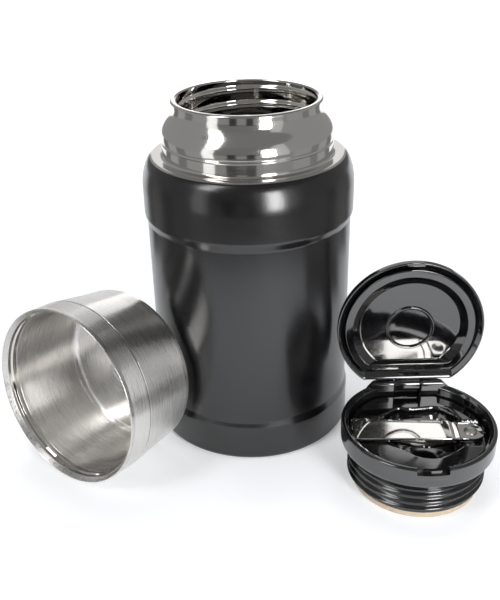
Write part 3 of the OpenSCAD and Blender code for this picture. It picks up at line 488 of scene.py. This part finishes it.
def hinge_ears():
    """Hinge ears: a pillar on the bowl's step, rounded over at the top into the barrel, on each side.
    The top falls 2.5 mm in a straight slope over the last 3.4 mm, and the back stays in the rim."""
    section = rounded([(HINGE_Y - 1.9, TRAY_SEAT_Z), (HINGE_Y - 2.4, HINGE_Z - 2.4, 3),
                       (HINGE_Y - 2.45, EAR_TOP + 0.15, 1.3),
                       (35.4, EAR_TOP, 1.2), (35.9, TRAY_SEAT_Z)])
    for name, side in (("hinge_ear_left", -1), ("hinge_ear_right", 1)):
        grid = bar_along_x(section, side * EAR_IN, side * EAR_OUT, 0.7,
                           side * np.r_[9.5, 13, 16.2, 16.8, 17.1, 17.5, 18.3, 19.2])
        reach = np.sqrt(np.maximum((STOP_R - 0.2) ** 2 - grid[..., 0] ** 2, 0))
        grid[..., 1] = np.minimum(grid[..., 1], reach)
        fall = np.clip((np.abs(grid[..., 0]) - 17.1) / 3.4, 0, 1) * 2.5
        grid[..., 2] = np.minimum(grid[..., 2], np.maximum(EAR_TOP + 0.15 - fall, RIM_TOP - 4))
        piece(name, placed(grid, stop_place), gloss_black, "stopper", sharp=30)


def plug_thread(u, r, z):
    """Moulded thread: the wall moves out by 1.45 mm times the cosine squared across a 3.2 mm ridge that
    follows a helix rising 3.9 mm a turn, and fades out under the skirt and above the bottom ring."""
    pitch = 3.9
    lead = 14.7 + pitch * (((u - 1.5 * PI) / (2 * PI) + 0.5) % 1.0 - 0.5)
    off = np.abs((z - lead + pitch / 2) % pitch - pitch / 2)
    ridge = np.where(off < 1.6, np.cos(PI * off / 3.2) ** 2, 0)
    fade = smooth((17.8 - z) / 1.2) * smooth((z - 4.6) / 1.0)
    return r + 1.45 * ridge * fade * (np.abs(r - PLUG_R) < 0.02), z


def stopper_plug():
    """Threaded plug: bottom flange, chamfered bottom ring, threaded wall and the inside wall."""
    z = np.linspace(4.6, SKIRT_Z - 0.3, 128)
    path = np.concatenate([
        rounded([(0, 3.2), (22.4, 3.2, 0.3), (22.4, 0.8, 0.2), (25, 0.8, 0.2), (25, 1.6, 0.2),
                 (24, 1.6, 0.2), (24, 3.2, 0.3), (SEAL_R - 0.2, 3.2, 0.4), (PLUG_R, 4.1, 0.5),
                 (PLUG_R, 4.6)], closed=False),
        np.stack([np.full(128, PLUG_R), z], 1)[1:],
        rounded([(PLUG_R, SKIRT_Z), (29.4, SKIRT_Z), (29.4, 5.4, 0.8), (0, 4.8)], closed=False)])
    piece("stopper_plug", placed(turned(path, 288, plug_thread), stop_place), satin_black, "stopper",
          ["threaded_plug"], uv_radius=PLUG_R, sharp=70)


def seal():
    """Silicone seal: a lipped ring stretched over the plug's flange, rounded below."""
    path = rounded([(24.1, 3.2), (24.1, 1.7, 0.2), (25.1, 1.7, 0.2), (25.1, 0.3, 0.3), (26, 0, 0.6),
                    (27.6, 0.25, 0.8), (SEAL_R, 0, 1.1), (SEAL_R, 1.7, 0.3), (SEAL_R - 0.25, 2.0, 0.2),
                    (SEAL_R, 2.3, 0.3), (SEAL_R, 3.2, 0.3)])
    piece("seal", placed(turned(path, 224), stop_place), silicone_beige, "stopper",
          ["seal_ring"], uv_radius=SEAL_R)


WELL = rounded([(-16.5, -9.0, 7), (-9.2, -14.0, 9), (-4.4, -18.4, 9), (0, -20.6, 8), (6.2, -20.6, 8),
                (11.6, -18.0, 12), (17.4, -13.6, 12), (22.6, -9.4, 9), (24.4, 0, 12), (22.4, 11.6, 8),
                (13.2, 20.4, 7), (-1.2, 18.4, 7), (-6.2, 20.2, 6), (-16.0, 12.6, 9), (-18.4, 1.6, 12)])[:-1]


def inside_by(x, y, loop):
    """How far points lie inside a closed loop, in millimetres: the least distance to its edges, with a
    minus sign outside, where the winding number of the loop about the point is nil."""
    a, b = loop, np.roll(loop, -1, 0)
    p = np.stack([x, y], -1)[..., None, :]
    edge = b - a
    t = np.clip(((p - a) * edge).sum(-1) / (edge ** 2).sum(-1), 0, 1)
    gap = np.linalg.norm(p - a - edge * t[..., None], axis=-1).min(-1)
    da, db = a - p, b - p
    turn = np.arctan2(da[..., 0] * db[..., 1] - da[..., 1] * db[..., 0], (da * db).sum(-1)).sum(-1)
    return np.where(np.abs(turn) > PI, gap, -gap)


def tray_height(x, y):
    """Height of the tray's top: the flange, less a slot 1.5 mm deep for the spork, less a finger well.
    The slot falls by a smooth step of the distance inside its outline. The well is a bowl: it falls by
    10 mm times one less e to the power of minus the distance inside its outline over 3.4 mm."""
    c, s = np.cos(np.radians(SPORK_TURN)), np.sin(np.radians(SPORK_TURN))
    sx, sy = x * c + (y - SPORK_Y) * s, -x * s + (y - SPORK_Y) * c
    ends = np.minimum(31.4 - np.abs(sx), 9.6 - np.abs(sy))
    slot = smooth((ends + 0.3) / 0.9) * 1.5
    well = inside_by(x, y, WELL)
    bowl = 10.0 * (1 - np.exp(-np.maximum(well, 0) / 3.4)) * smooth((well + 0.2) / 1.2)
    return TRAY_Z - np.maximum(slot, bowl)


def stopper_tray():
    """Moulded tray: a round sheet whose height follows tray_height, with an edge that turns down and an
    underside 1.3 mm below. It is cut back to a straight edge in front of the ears and the knuckle."""
    r = np.r_[np.linspace(0, 31.4, 96), 31.9, 32.2, 32.3]
    drop = np.r_[np.zeros(96), 0.12, 0.4, 0.9]
    u = np.linspace(0, 2 * PI, 321)
    x, y = r[None] * np.cos(u)[:, None], r[None] * np.sin(u)[:, None]
    y = np.where((np.abs(x) < EAR_OUT + 0.2) & (y > TRAY_CUT), TRAY_CUT, y)
    top = np.stack([x, y, tray_height(x, y) - drop[None]], -1)
    low = top[:, ::-1].copy()
    low[..., 2] = np.maximum(low[..., 2] - 1.3, 13.9)
    on_step = np.hypot(low[..., 0], low[..., 1]) > 28
    low[..., 2] = np.where(on_step, np.maximum(low[..., 2], TRAY_SEAT_Z), low[..., 2])
    piece("stopper_tray", placed(np.concatenate([top, low], 1), stop_place), gloss_black, "stopper",
          ["utensil_tray"], wrap=False, sharp=50)


# ---------------------------------------------------------------- lid
lid_place = stop_place @ Matrix.Translation((0, HINGE_Y, HINGE_Z)) \
    @ Matrix.Rotation(np.radians(-LID_OPEN), 4, "X") @ Matrix.Translation((0, -HINGE_Y, -HINGE_Z))


def lid_outline(inset):
    """The lid's plan drawn in by an inset: a disc cut by the straight edge at the hinge, with a fillet
    of 2.5 mm at both ends. A fillet's centre lies that much inside both the disc and the edge. The edge
    is drawn in by up to 1 mm more than the disc, and past 7.6 mm by only a fifth as much."""
    q, r = LID_CORNER_R, LID_R - inset
    cy = LID_CHORD - min(inset, 7.6) - 0.2 * max(inset - 7.6, 0) - 1.0 * smooth(inset / 3) - q
    cx = np.sqrt((r - q) ** 2 - cy ** 2)
    phi = np.arctan2(cy, cx)
    a, b = np.linspace(phi, PI / 2, 18), np.linspace(PI / 2, PI - phi, 18)
    big = np.linspace(PI - phi, 2 * PI + phi, 190)
    line = np.linspace(cx, -cx, 30)[1:-1]
    return np.concatenate([np.stack([cx + q * np.cos(a), cy + q * np.sin(a)], 1),
                           np.stack([line, np.full(28, cy + q)], 1),
                           np.stack([-cx + q * np.cos(b), cy + q * np.sin(b)], 1),
                           np.stack([r * np.cos(big), r * np.sin(big)], 1)[1:]])


def ring_rows(corners, shrink_in=(), shrink_out=()):
    """Loft rings from a rounded (inset, z) profile, with extra rows that close the sheet at its middle."""
    rows = [(a, 1.0, z) for a, z in rounded(corners, closed=False)]
    first, last = rows[0], rows[-1]
    return [(first[0], k, first[2]) for k in shrink_in] + rows + [(last[0], k, last[2]) for k in shrink_out]


def lid_pieces():
    """Flip lid: domed cover whose thin edge slopes in to a V groove, and an inner panel with a raised
    land, a sloped wall down to a flat field that leans by 2.3 degrees, and a round bead at the centre.
    The height of the field and of the bead changes by y times the tangent of the lean."""
    lean = np.tan(np.radians(2.3))
    cover = ring_rows([(7.5, 36.35), (6.4, LID_TOP, 0.8), (0, LID_TOP, 1.5), (0, LID_Z, 0.35),
                       (0.75, LID_Z, 0.3), (3.7, 35.5), (4.3, 36.05)], (0, 0.5), (0.5, 0))
    piece("lid_shell", placed(lofted(lid_outline, cover), lid_place), gloss_black, "lid",
          ["lid_cover"])
    inner = ring_rows([(3.9, 35.9), (3.95, 33.2, 0.4), (7.6, 33.2, 0.25), (11.2, 34.95, 0.6),
                       (12.2, 34.97)], (0,), (0.75, 0.5, 0.25, 0))
    grid = lofted(lid_outline, inner)
    field = np.array([inset > 7 for inset, _, _ in inner]) * np.clip((grid[..., 2] - 33.2) / 1.75, 0, 1)
    grid[..., 2] += field * lean * grid[..., 1]
    piece("lid_panel", placed(grid, lid_place), gloss_black, "lid", ["lid_liner"])
    ring = rounded([(12.1, 35.2), (11.75, 34.0, 0.5), (10.6, 34.0, 0.5), (10.0, 35.2)])
    grid = turned(ring, 128)
    grid[..., 2] += lean * grid[..., 1]
    piece("lid_centre_ring", placed(grid, lid_place), gloss_black, "lid", uv_radius=11.4)
    arm = rounded([(25.2, LID_Z + 0.7), (25.2, LID_TOP - 0.45, 0.4), (29.4, LID_TOP - 0.45, 1.6),
                   (HINGE_Y + 2.55, HINGE_Z + 1.2, 1.6), (HINGE_Y + 2.45, HINGE_Z - 2.45, 2.35),
                   (HINGE_Y - 2.5, HINGE_Z - 2.5, 2.35), (HINGE_Y - 2.55, HINGE_Z + 0.8, 0.9)])
    piece("lid_knuckle", placed(bar_along_x(arm, -6.2, 6.2, 0.35), lid_place), gloss_black, "lid")
    snap = rounded([(-35.5, 30.2, 0.3), (-34.95, 30.2, 0.2), (-34.95, 33.4), (-35.5, 33.4)])
    piece("lid_snap", placed(bar_along_x(snap, -4.1, 4.1, 0.2), lid_place), gloss_black, "lid")


# ---------------------------------------------------------------- spork
spork_place = stop_place @ Matrix.Translation((0, SPORK_Y, 0)) \
    @ Matrix.Rotation(np.radians(SPORK_TURN), 4, "Z")


def handle_outline(inset):
    """The handle's plan drawn in by an inset: a wide end with one large and one small corner, sides
    that close in, and a half circle about the rivet. Each point moves in along its own normal."""
    sides = rounded([(24.5, 6.2), (19.5, 6.2, 4), (14.5, 7.5, 3), (-30.7, 8.7, 6), (-30.7, -8.7, 2.2),
                     (14.5, -7.5, 3), (19.5, -6.2, 4), (24.5, -6.2)], closed=False)
    t = np.radians(np.linspace(-90, 90, 37))
    base = np.r_[sides, np.stack([24.5 + 6.2 * np.cos(t), 6.2 * np.sin(t)], 1)[1:]]
    run = np.r_[0, np.cumsum(np.linalg.norm(np.diff(base, axis=0), axis=1))]
    s = np.linspace(0, run[-1], 361)
    even = np.stack([np.interp(s, run, base[:, k]) for k in (0, 1)], 1)[:-1]
    step = np.roll(even, -2, 0) - np.roll(even, 2, 0)
    normal = np.stack([-step[:, 1], step[:, 0]], 1) / np.linalg.norm(step, axis=1)[:, None]
    moved = even + normal * inset
    return np.r_[moved, moved[:1]]


def handle_relief(x, y):
    """Change in height of the handle's top: a lean of 0.03 in y, two joggles down to the tongue, which
    falls by 0.05 in x, and a hemmed strip along the back that stands off by a creased line and rounds
    over to the edge."""
    down = -0.4 * smooth((x - 15.3) / 1.0) - 0.4 * smooth((x - 19.1) / 1.7) - 0.05 * np.maximum(x - 20.5, 0)
    off = y - (5.55 - 0.021 * (x + 6))
    along = smooth((x + 24) / 1.5) * smooth((12.5 - x) / 1.5)
    fold = -(0.14 * np.exp(-(off / 0.3) ** 2) + 0.07 * np.clip(off, 0, 3) ** 2) * along
    return down + fold - 0.03 * y


def spork_pieces():
    """Folding spork: a folded handle plate over a dished head with four tines, held by a rivet."""
    z = SPORK_Z
    rings = [(1.2, 0, z - 1.2), (1.2, 0.6, z - 1.2), (0.3, 1, z - 1.2), (0.05, 1, z - 1.05),
             (0, 1, z - 0.8), (0, 1, z - 0.35), (0.08, 1, z - 0.15), (0.22, 1, z - 0.05), (0.42, 1, z)]
    rings += [(0.42, k, z) for k in np.linspace(0.985, 0, 66)]
    grid = lofted(handle_outline, rings)
    top = grid[..., 2] > z - 0.5
    grid[..., 2] += np.where(top, handle_relief(grid[..., 0], grid[..., 1]), 0)
    piece("spork_plate", placed(grid, spork_place), mirror_steel, "spork",
          ["spork_handle"], sharp=50)
    dome = rounded([(0, z + 0.55), (1.5, z + 0.45, 0.8), (2.4, z - 0.1, 0.6), (3.0, z - 0.45, 0.3),
                    (3.1, z - 0.95), (1.6, z - 0.95), (1.6, HEAD_Z), (0, HEAD_Z)], closed=False)
    piece("rivet", placed(turned(dome, 64), spork_place @ Matrix.Translation((RIVET_X, 0, 0))),
          peened_steel, "spork", ["spork_rivet"], uv_radius=2)
    spork_head_piece()


def spork_head_piece():
    """Head of the spork: station u runs from the shank to the tips and v across it. The half-width
    swells from 7.3 to 11 mm and falls to 6.2 mm, and the dip is 5 mm times the sine of pi u / 0.72, to
    the power 0.8, times one less v squared, up to station 0.72. Past station 0.79 the rows of points
    follow the edges of three slots 1.7 mm wide, whose cells are left out, and the four tines between
    them taper over their last millimetres."""
    bowl_x, tip_x = RIVET_X - 6, -28.7
    slots = np.array([-5.03, -3.33, -0.85, 0.85, 3.33, 5.03])
    u = np.sort(np.unique(np.r_[np.linspace(0, 1, 91), 1 - 10 / (bowl_x - tip_x)]))
    hw = np.where(u < 0.31, 7.3 + 3.7 * (1 - np.cos(PI * u / 0.31)) / 2,
                  6.2 + 4.8 * (1 + np.cos(PI * np.clip((u - 0.31) / 0.55, 0, 1))) / 2)
    start = 1 - 10 / (bowl_x - tip_x)
    knots = np.r_[-1, slots / np.interp(start, u, hw), 1]
    v = np.concatenate([np.linspace(a, b, 7)[:-1] for a, b in zip(knots[:-1], knots[1:])] + [[1.0]])
    edges = np.concatenate([-hw[:, None], np.repeat(slots[None], len(u), 0), hw[:, None]], 1)
    cell = np.minimum(np.arange(len(v)) // 6, 6)
    share = np.where(np.arange(len(v)) == len(v) - 1, 1.0, (np.arange(len(v)) % 6) / 6)
    slotted = edges[:, cell] * (1 - share) + edges[:, cell + 1] * share
    uu, vv = np.meshgrid(u, v, indexing="ij")
    y = np.where(uu >= start - 1e-9, slotted, hw[:, None] * vv)
    middle = (edges[:, cell // 2 * 2] + edges[:, np.minimum(cell // 2 * 2 + 1, 7)]) / 2
    taper = 1 - 0.75 * smooth((uu - 0.95) / 0.05) ** 2
    y = np.where(uu > 0.95, middle + (y - middle) * taper, y)
    dip = 5.0 * np.sin(PI * np.minimum(1, uu / 0.72)) ** 0.8 * (1 - np.minimum(1, np.abs(vv)) ** 2)
    sheet = np.stack([bowl_x + (tip_x - bowl_x) * uu, y, HEAD_Z + 1.15 - dip], -1)
    low = sheet - [0, 0, 1.1]
    n, m = len(u), len(v)
    open_cell = (cell[:-1] % 2 == 1)[None] & (u[:-1] > start - 1e-9)[:, None]
    i, j = np.nonzero(~open_cell)
    quads = np.stack([i * m + j, (i + 1) * m + j, (i + 1) * m + j + 1, i * m + j + 1], 1)
    filled = np.pad(~open_cell, 1)
    walls = []
    for di, dj, a, b in ((-1, 0, (0, 0), (0, 1)), (1, 0, (1, 1), (1, 0)), (0, -1, (1, 0), (0, 0)),
                         (0, 1, (0, 1), (1, 1))):
        edge = ~open_cell & ~filled[1 + di:n + di, 1 + dj:m + dj]
        p, q = np.nonzero(edge)
        first, last = (p + a[0]) * m + q + a[1], (p + b[0]) * m + q + b[1]
        walls.append(np.stack([first, last, last + n * m, first + n * m], 1))
    faces = np.concatenate([quads, quads[:, ::-1] + n * m, *walls])
    t = np.radians(np.linspace(-90, 90, 25))
    end = np.stack([RIVET_X + 5.9 * np.cos(t), 5.9 * np.sin(t)], 1)
    shank = np.r_[[[bowl_x, -7.3]], end, [[bowl_x, 7.3]]]
    k = len(shank)
    tip = np.r_[np.c_[shank, np.full(k, HEAD_Z + 1.15)], np.c_[shank, np.full(k, HEAD_Z + 0.05)]]
    base = 2 * n * m
    side = np.arange(k - 1)
    extra = [list(base + np.arange(k)), list(base + k + np.arange(k))[::-1]]
    extra += np.stack([base + side, base + side + k, base + side + k + 1, base + side + 1], 1).tolist()
    points = np.concatenate([sheet.reshape(-1, 3), low.reshape(-1, 3), tip])
    mesh = bpy.data.meshes.new("spork_bowl")
    mesh.from_pydata((placed(points, spork_place) * MM).tolist(), [], faces.tolist() + extra)
    finished("spork_bowl", mesh, mirror_steel, "spork_head", ["spork_head"], sharp=40)


jar_shell()
jar_neck()
jar_vessel()
cup_pieces()
stopper_bowl()
hinge_ears()
stopper_plug()
seal()
stopper_tray()
lid_pieces()
spork_pieces()


# ---------------------------------------------------------------- studio
def empty_tree(owner):
    """The emptied node tree of a stage material or of the world."""
    owner.use_nodes = True
    owner.node_tree.nodes.clear()
    return owner.node_tree


def plain_glow(name, strength):
    """A card that glows evenly, where a strength of 1 is white."""
    card = bpy.data.materials.new(name)
    tree = empty_tree(card)
    light = add(tree, "ShaderNodeEmission", {"Color": linear("#ffffff"), "Strength": strength})
    add(tree, "ShaderNodeOutputMaterial", links={"Surface": light.outputs[0]})
    return card


def stage_piece(name, points, faces, material):
    """A piece of the stage from its points in metres and its faces."""
    mesh = bpy.data.meshes.new(name)
    mesh.from_pydata(points, [], faces)
    mesh.materials.append(material)
    obj = bpy.data.objects.new(name, mesh)
    scene.collection.objects.link(obj)
    return obj


def stage_ring(name, inner, outer, low, high, material, start=0.0, stop=360.0):
    """A ring or wall, or part of one between two angles from the x axis, in 96 steps: it runs from the
    inner radius at the low height to the outer radius at the high one."""
    steps = 96
    u = np.radians(np.linspace(start, stop, steps + 1))
    loop = np.stack([np.cos(u), np.sin(u)], 1)
    points = np.concatenate([np.c_[loop * r + STAGE_MIDDLE, np.full(steps + 1, z)]
                             for r, z in ((inner, low), (outer, high))])
    k = np.arange(steps)
    faces = np.stack([k, k + steps + 1, k + steps + 2, k + 1], 1)
    return stage_piece(name, points.tolist(), faces.tolist(), material)


def for_reflections(obj):
    """Hides a card from the camera and from soft light, so that only reflections see it."""
    obj.visible_camera = obj.visible_diffuse = obj.visible_shadow = False


def stage_board(name, left, right, bottom, top, material):
    """An upright board between two spots on the floor plan, which only reflections see."""
    points = [(*left, bottom), (*right, bottom), (*right, top), (*left, top)]
    for_reflections(stage_piece(name, points, [(0, 1, 2, 3)], material))


def seen_rays(tree):
    """1 for rays of the camera, of reflections and through glass, and 0 for soft light: the white
    background is for all three, so that metal shows it too."""
    path = add(tree, "ShaderNodeLightPath").outputs
    seen = add(tree, "ShaderNodeMath", links={0: path["Is Camera Ray"], 1: path["Is Glossy Ray"]},
               operation="ADD")
    return add(tree, "ShaderNodeMath", links={0: seen.outputs[0], 1: path["Is Transmission Ray"]},
               operation="ADD", use_clamp=True).outputs[0]


def paper_floor():
    """Pale floor that keeps the shadows: matt paper, plus a glow that rises with the distance from the
    jar's axis until the floor is white."""
    paper = bpy.data.materials.new("matt_white_paper")
    tree = empty_tree(paper)
    spot = add(tree, "ShaderNodeTexCoord").outputs["Object"]
    away = add(tree, "ShaderNodeVectorMath", links={0: spot}, operation="LENGTH")
    level = add(tree, "ShaderNodeMapRange",
                {"From Min": 0.25, "From Max": 0.9, "To Min": GLOW, "To Max": 1.0},
                {"Value": away.outputs["Value"]}, interpolation_type="SMOOTHSTEP")
    glow = add(tree, "ShaderNodeMath", links={0: seen_rays(tree), 1: level.outputs[0]},
               operation="MULTIPLY")
    light = add(tree, "ShaderNodeEmission", {"Color": linear("#fdfeff")}, {"Strength": glow.outputs[0]})
    matt = add(tree, "ShaderNodeBsdfDiffuse", {"Color": linear("#ebedf0")})
    both = add(tree, "ShaderNodeAddShader", links={0: light.outputs[0], 1: matt.outputs[0]})
    add(tree, "ShaderNodeOutputMaterial", links={"Surface": both.outputs[0]})
    stage_ring("floor", 0, FLOOR_OUT, -CARD_Z, -CARD_Z, paper)


def cards_and_walls():
    """Grey and dark cards on the floor, grey walls and a ceiling, three black boards behind the camera
    and a pale one beside it. Only reflections see them."""
    dark, black = plain_glow("dark_card", 0.16), plain_glow("black_cloth", 0.05)
    for level, start, stop in GREY_CARDS:
        for_reflections(stage_ring(f"grey_card_{start}", CARD_IN, FLOOR_OUT, CARD_Z, CARD_Z,
                                   plain_glow(f"grey_card_{start}", level), start, stop))
    for side, start, stop in (("right", -28, 24), ("left", 156, 205)):
        for_reflections(stage_ring(f"dark_card_{side}", 0.19, CARD_IN, CARD_Z, CARD_Z, dark, start, stop))
    for level, start, stop in GREY_WALLS:
        for_reflections(stage_ring(f"grey_wall_{start}", WALL_R, WALL_R, 0.0, CEILING_Z,
                                   plain_glow(f"grey_wall_{start}", level), start, stop))
    for_reflections(stage_ring("grey_ceiling", 0, WALL_R, CEILING_Z, CEILING_Z,
                               plain_glow("grey_ceiling", 0.22)))
    stage_board("black_board_left", (-0.19, -0.41), (-0.11, -0.43), 0.025, 0.2, black)
    stage_board("black_board_right", (-0.01, -0.43), (0.065, -0.43), 0.025, 0.2, black)
    stage_board("black_board_low", (-0.21, -0.41), (0.075, -0.42), 0, 0.025, black)
    stage_board("pale_board_right", (0.27, -0.4), (0.37, -0.3), 0.05, 0.5, plain_glow("pale_card", 0.6))


def room_light():
    """World: a grey room for soft light, darker in front and overhead, and white for all other rays."""
    scene.world = bpy.data.worlds.new("studio")
    tree = empty_tree(scene.world)
    way = add(tree, "ShaderNodeTexCoord").outputs["Generated"]
    along = add(tree, "ShaderNodeSeparateXYZ", links={0: way}).outputs
    front = add(tree, "ShaderNodeMapRange",
                {"From Min": -1.0, "From Max": -0.55, "To Min": FRONT, "To Max": SIDE},
                {"Value": along["Y"]}, interpolation_type="SMOOTHSTEP")
    lift = add(tree, "ShaderNodeMapRange",
               {"From Min": 0.45, "From Max": 0.95, "To Min": 0.0, "To Max": OVERHEAD},
               {"Value": along["Z"]}, interpolation_type="SMOOTHSTEP")
    room = add(tree, "ShaderNodeMath", links={0: front.outputs[0], 1: lift.outputs[0]}, operation="ADD")
    level = add(tree, "ShaderNodeMath", links={0: room.outputs[0], 1: seen_rays(tree)},
                operation="MAXIMUM")
    back = add(tree, "ShaderNodeBackground", {"Color": linear("#fdfdfd")}, {"Strength": level.outputs[0]})
    add(tree, "ShaderNodeOutputWorld", links={"Surface": back.outputs[0]})


def soft_boxes():
    """Area lamps whose power is their radiance times pi times their area. The top one gives soft light
    only, and isn't seen in reflections."""
    for name, at, aim, size, radiance in SOFTBOXES:
        lamp = bpy.data.lights.new(name, "AREA")
        lamp.shape, lamp.size, lamp.size_y = "RECTANGLE", size[0], size[1]
        lamp.energy = radiance * PI * size[0] * size[1]
        obj = bpy.data.objects.new(name, lamp)
        scene.collection.objects.link(obj)
        turn = (Vector(at) - Vector(aim)).to_track_quat("Z", "Y").to_matrix().to_4x4()
        obj.matrix_world = Matrix.Translation(at) @ turn
        obj.visible_camera = False
        obj.visible_glossy = name != "softbox_top"


def camera():
    """Camera 380 mm in front and 264 mm up, looking 27.7 degrees down, with a slight roll."""
    pitch, yaw, roll = 0.4842, -0.0015, -0.02305
    ahead = np.array([np.sin(yaw) * np.cos(pitch), np.cos(yaw) * np.cos(pitch), -np.sin(pitch)])
    right = np.array([np.cos(yaw), -np.sin(yaw), 0])
    up = np.cross(right, ahead)
    right, up = np.cos(roll) * right + np.sin(roll) * up, -np.sin(roll) * right + np.cos(roll) * up
    data = bpy.data.cameras.new("camera")
    data.sensor_width, data.lens = 36.0, 49.136
    data.clip_start, data.clip_end = 0.01, 30
    obj = bpy.data.objects.new("camera", data)
    scene.collection.objects.link(obj)
    turn = Matrix([[*row, 0] for row in np.stack([right, up, -ahead], 1)] + [[0, 0, 0, 1]])
    obj.matrix_world = Matrix.Translation((0, -0.3804, 0.2644)) @ turn
    scene.camera = obj


# Levels of the studio, as radiance where white is 1: the floor's glow near the jar, on top of the
# light that falls on it, the room in front and at the sides, and what is added overhead
GLOW, FRONT, SIDE, OVERHEAD = 0.27, 0.2, 0.34, -0.12

# The stage in metres: its middle, where the cards start, the floor's edge, how far the cards lie above
# the table and the floor below it, and the walls' radius and height
STAGE_MIDDLE, CARD_IN, FLOOR_OUT, CARD_Z = (0.0, -0.02), 0.26, 8.0, 0.0002
WALL_R, CEILING_Z = 3.0, 2.5

# Grey cards on the floor and grey walls, all outside the main view's frame: radiance, and the angles
# from the x axis that each one spans. Behind the jar there are none, so that metal shows the white there
GREY_CARDS = ((0.3, -150, -30), (0.36, -30, -2), (0.24, -2, 12), (0.4, 12, 30), (0.22, 30, 44),
              (0.2, 136, 150), (0.42, 150, 168), (0.22, 168, 184), (0.36, 184, 210))
GREY_WALLS = ((0.2, -140, -40), (0.34, -40, 70), (0.34, 110, 220))

# Soft boxes: name, place, what it faces, width and height in metres, radiance
SOFTBOXES = (
    ("softbox_right", (0.209, -0.434, 0.215), (0.0, -0.02, 0.215), (0.126, 0.33), 14.5),
    ("softbox_left", (-0.335, -0.285, 0.25), (0.0, -0.02, 0.25), (0.12, 0.5), 1.15),
    ("softbox_left_high", (-0.72, -0.6, 1.05), (0.0, -0.02, 0.08), (0.35, 0.7), 6.0),
    ("softbox_back", (0.0, 1.1, 0.32), (0.0, -0.02, 0.08), (0.3, 0.28), 2.0),
    ("softbox_top", (0.0, 0.65, 1.5), (0.0, -0.02, 0.08), (1.2, 0.8), 4.3))

paper_floor()
cards_and_walls()
room_light()
soft_boxes()
camera()
scene.view_settings.view_transform = "Standard"
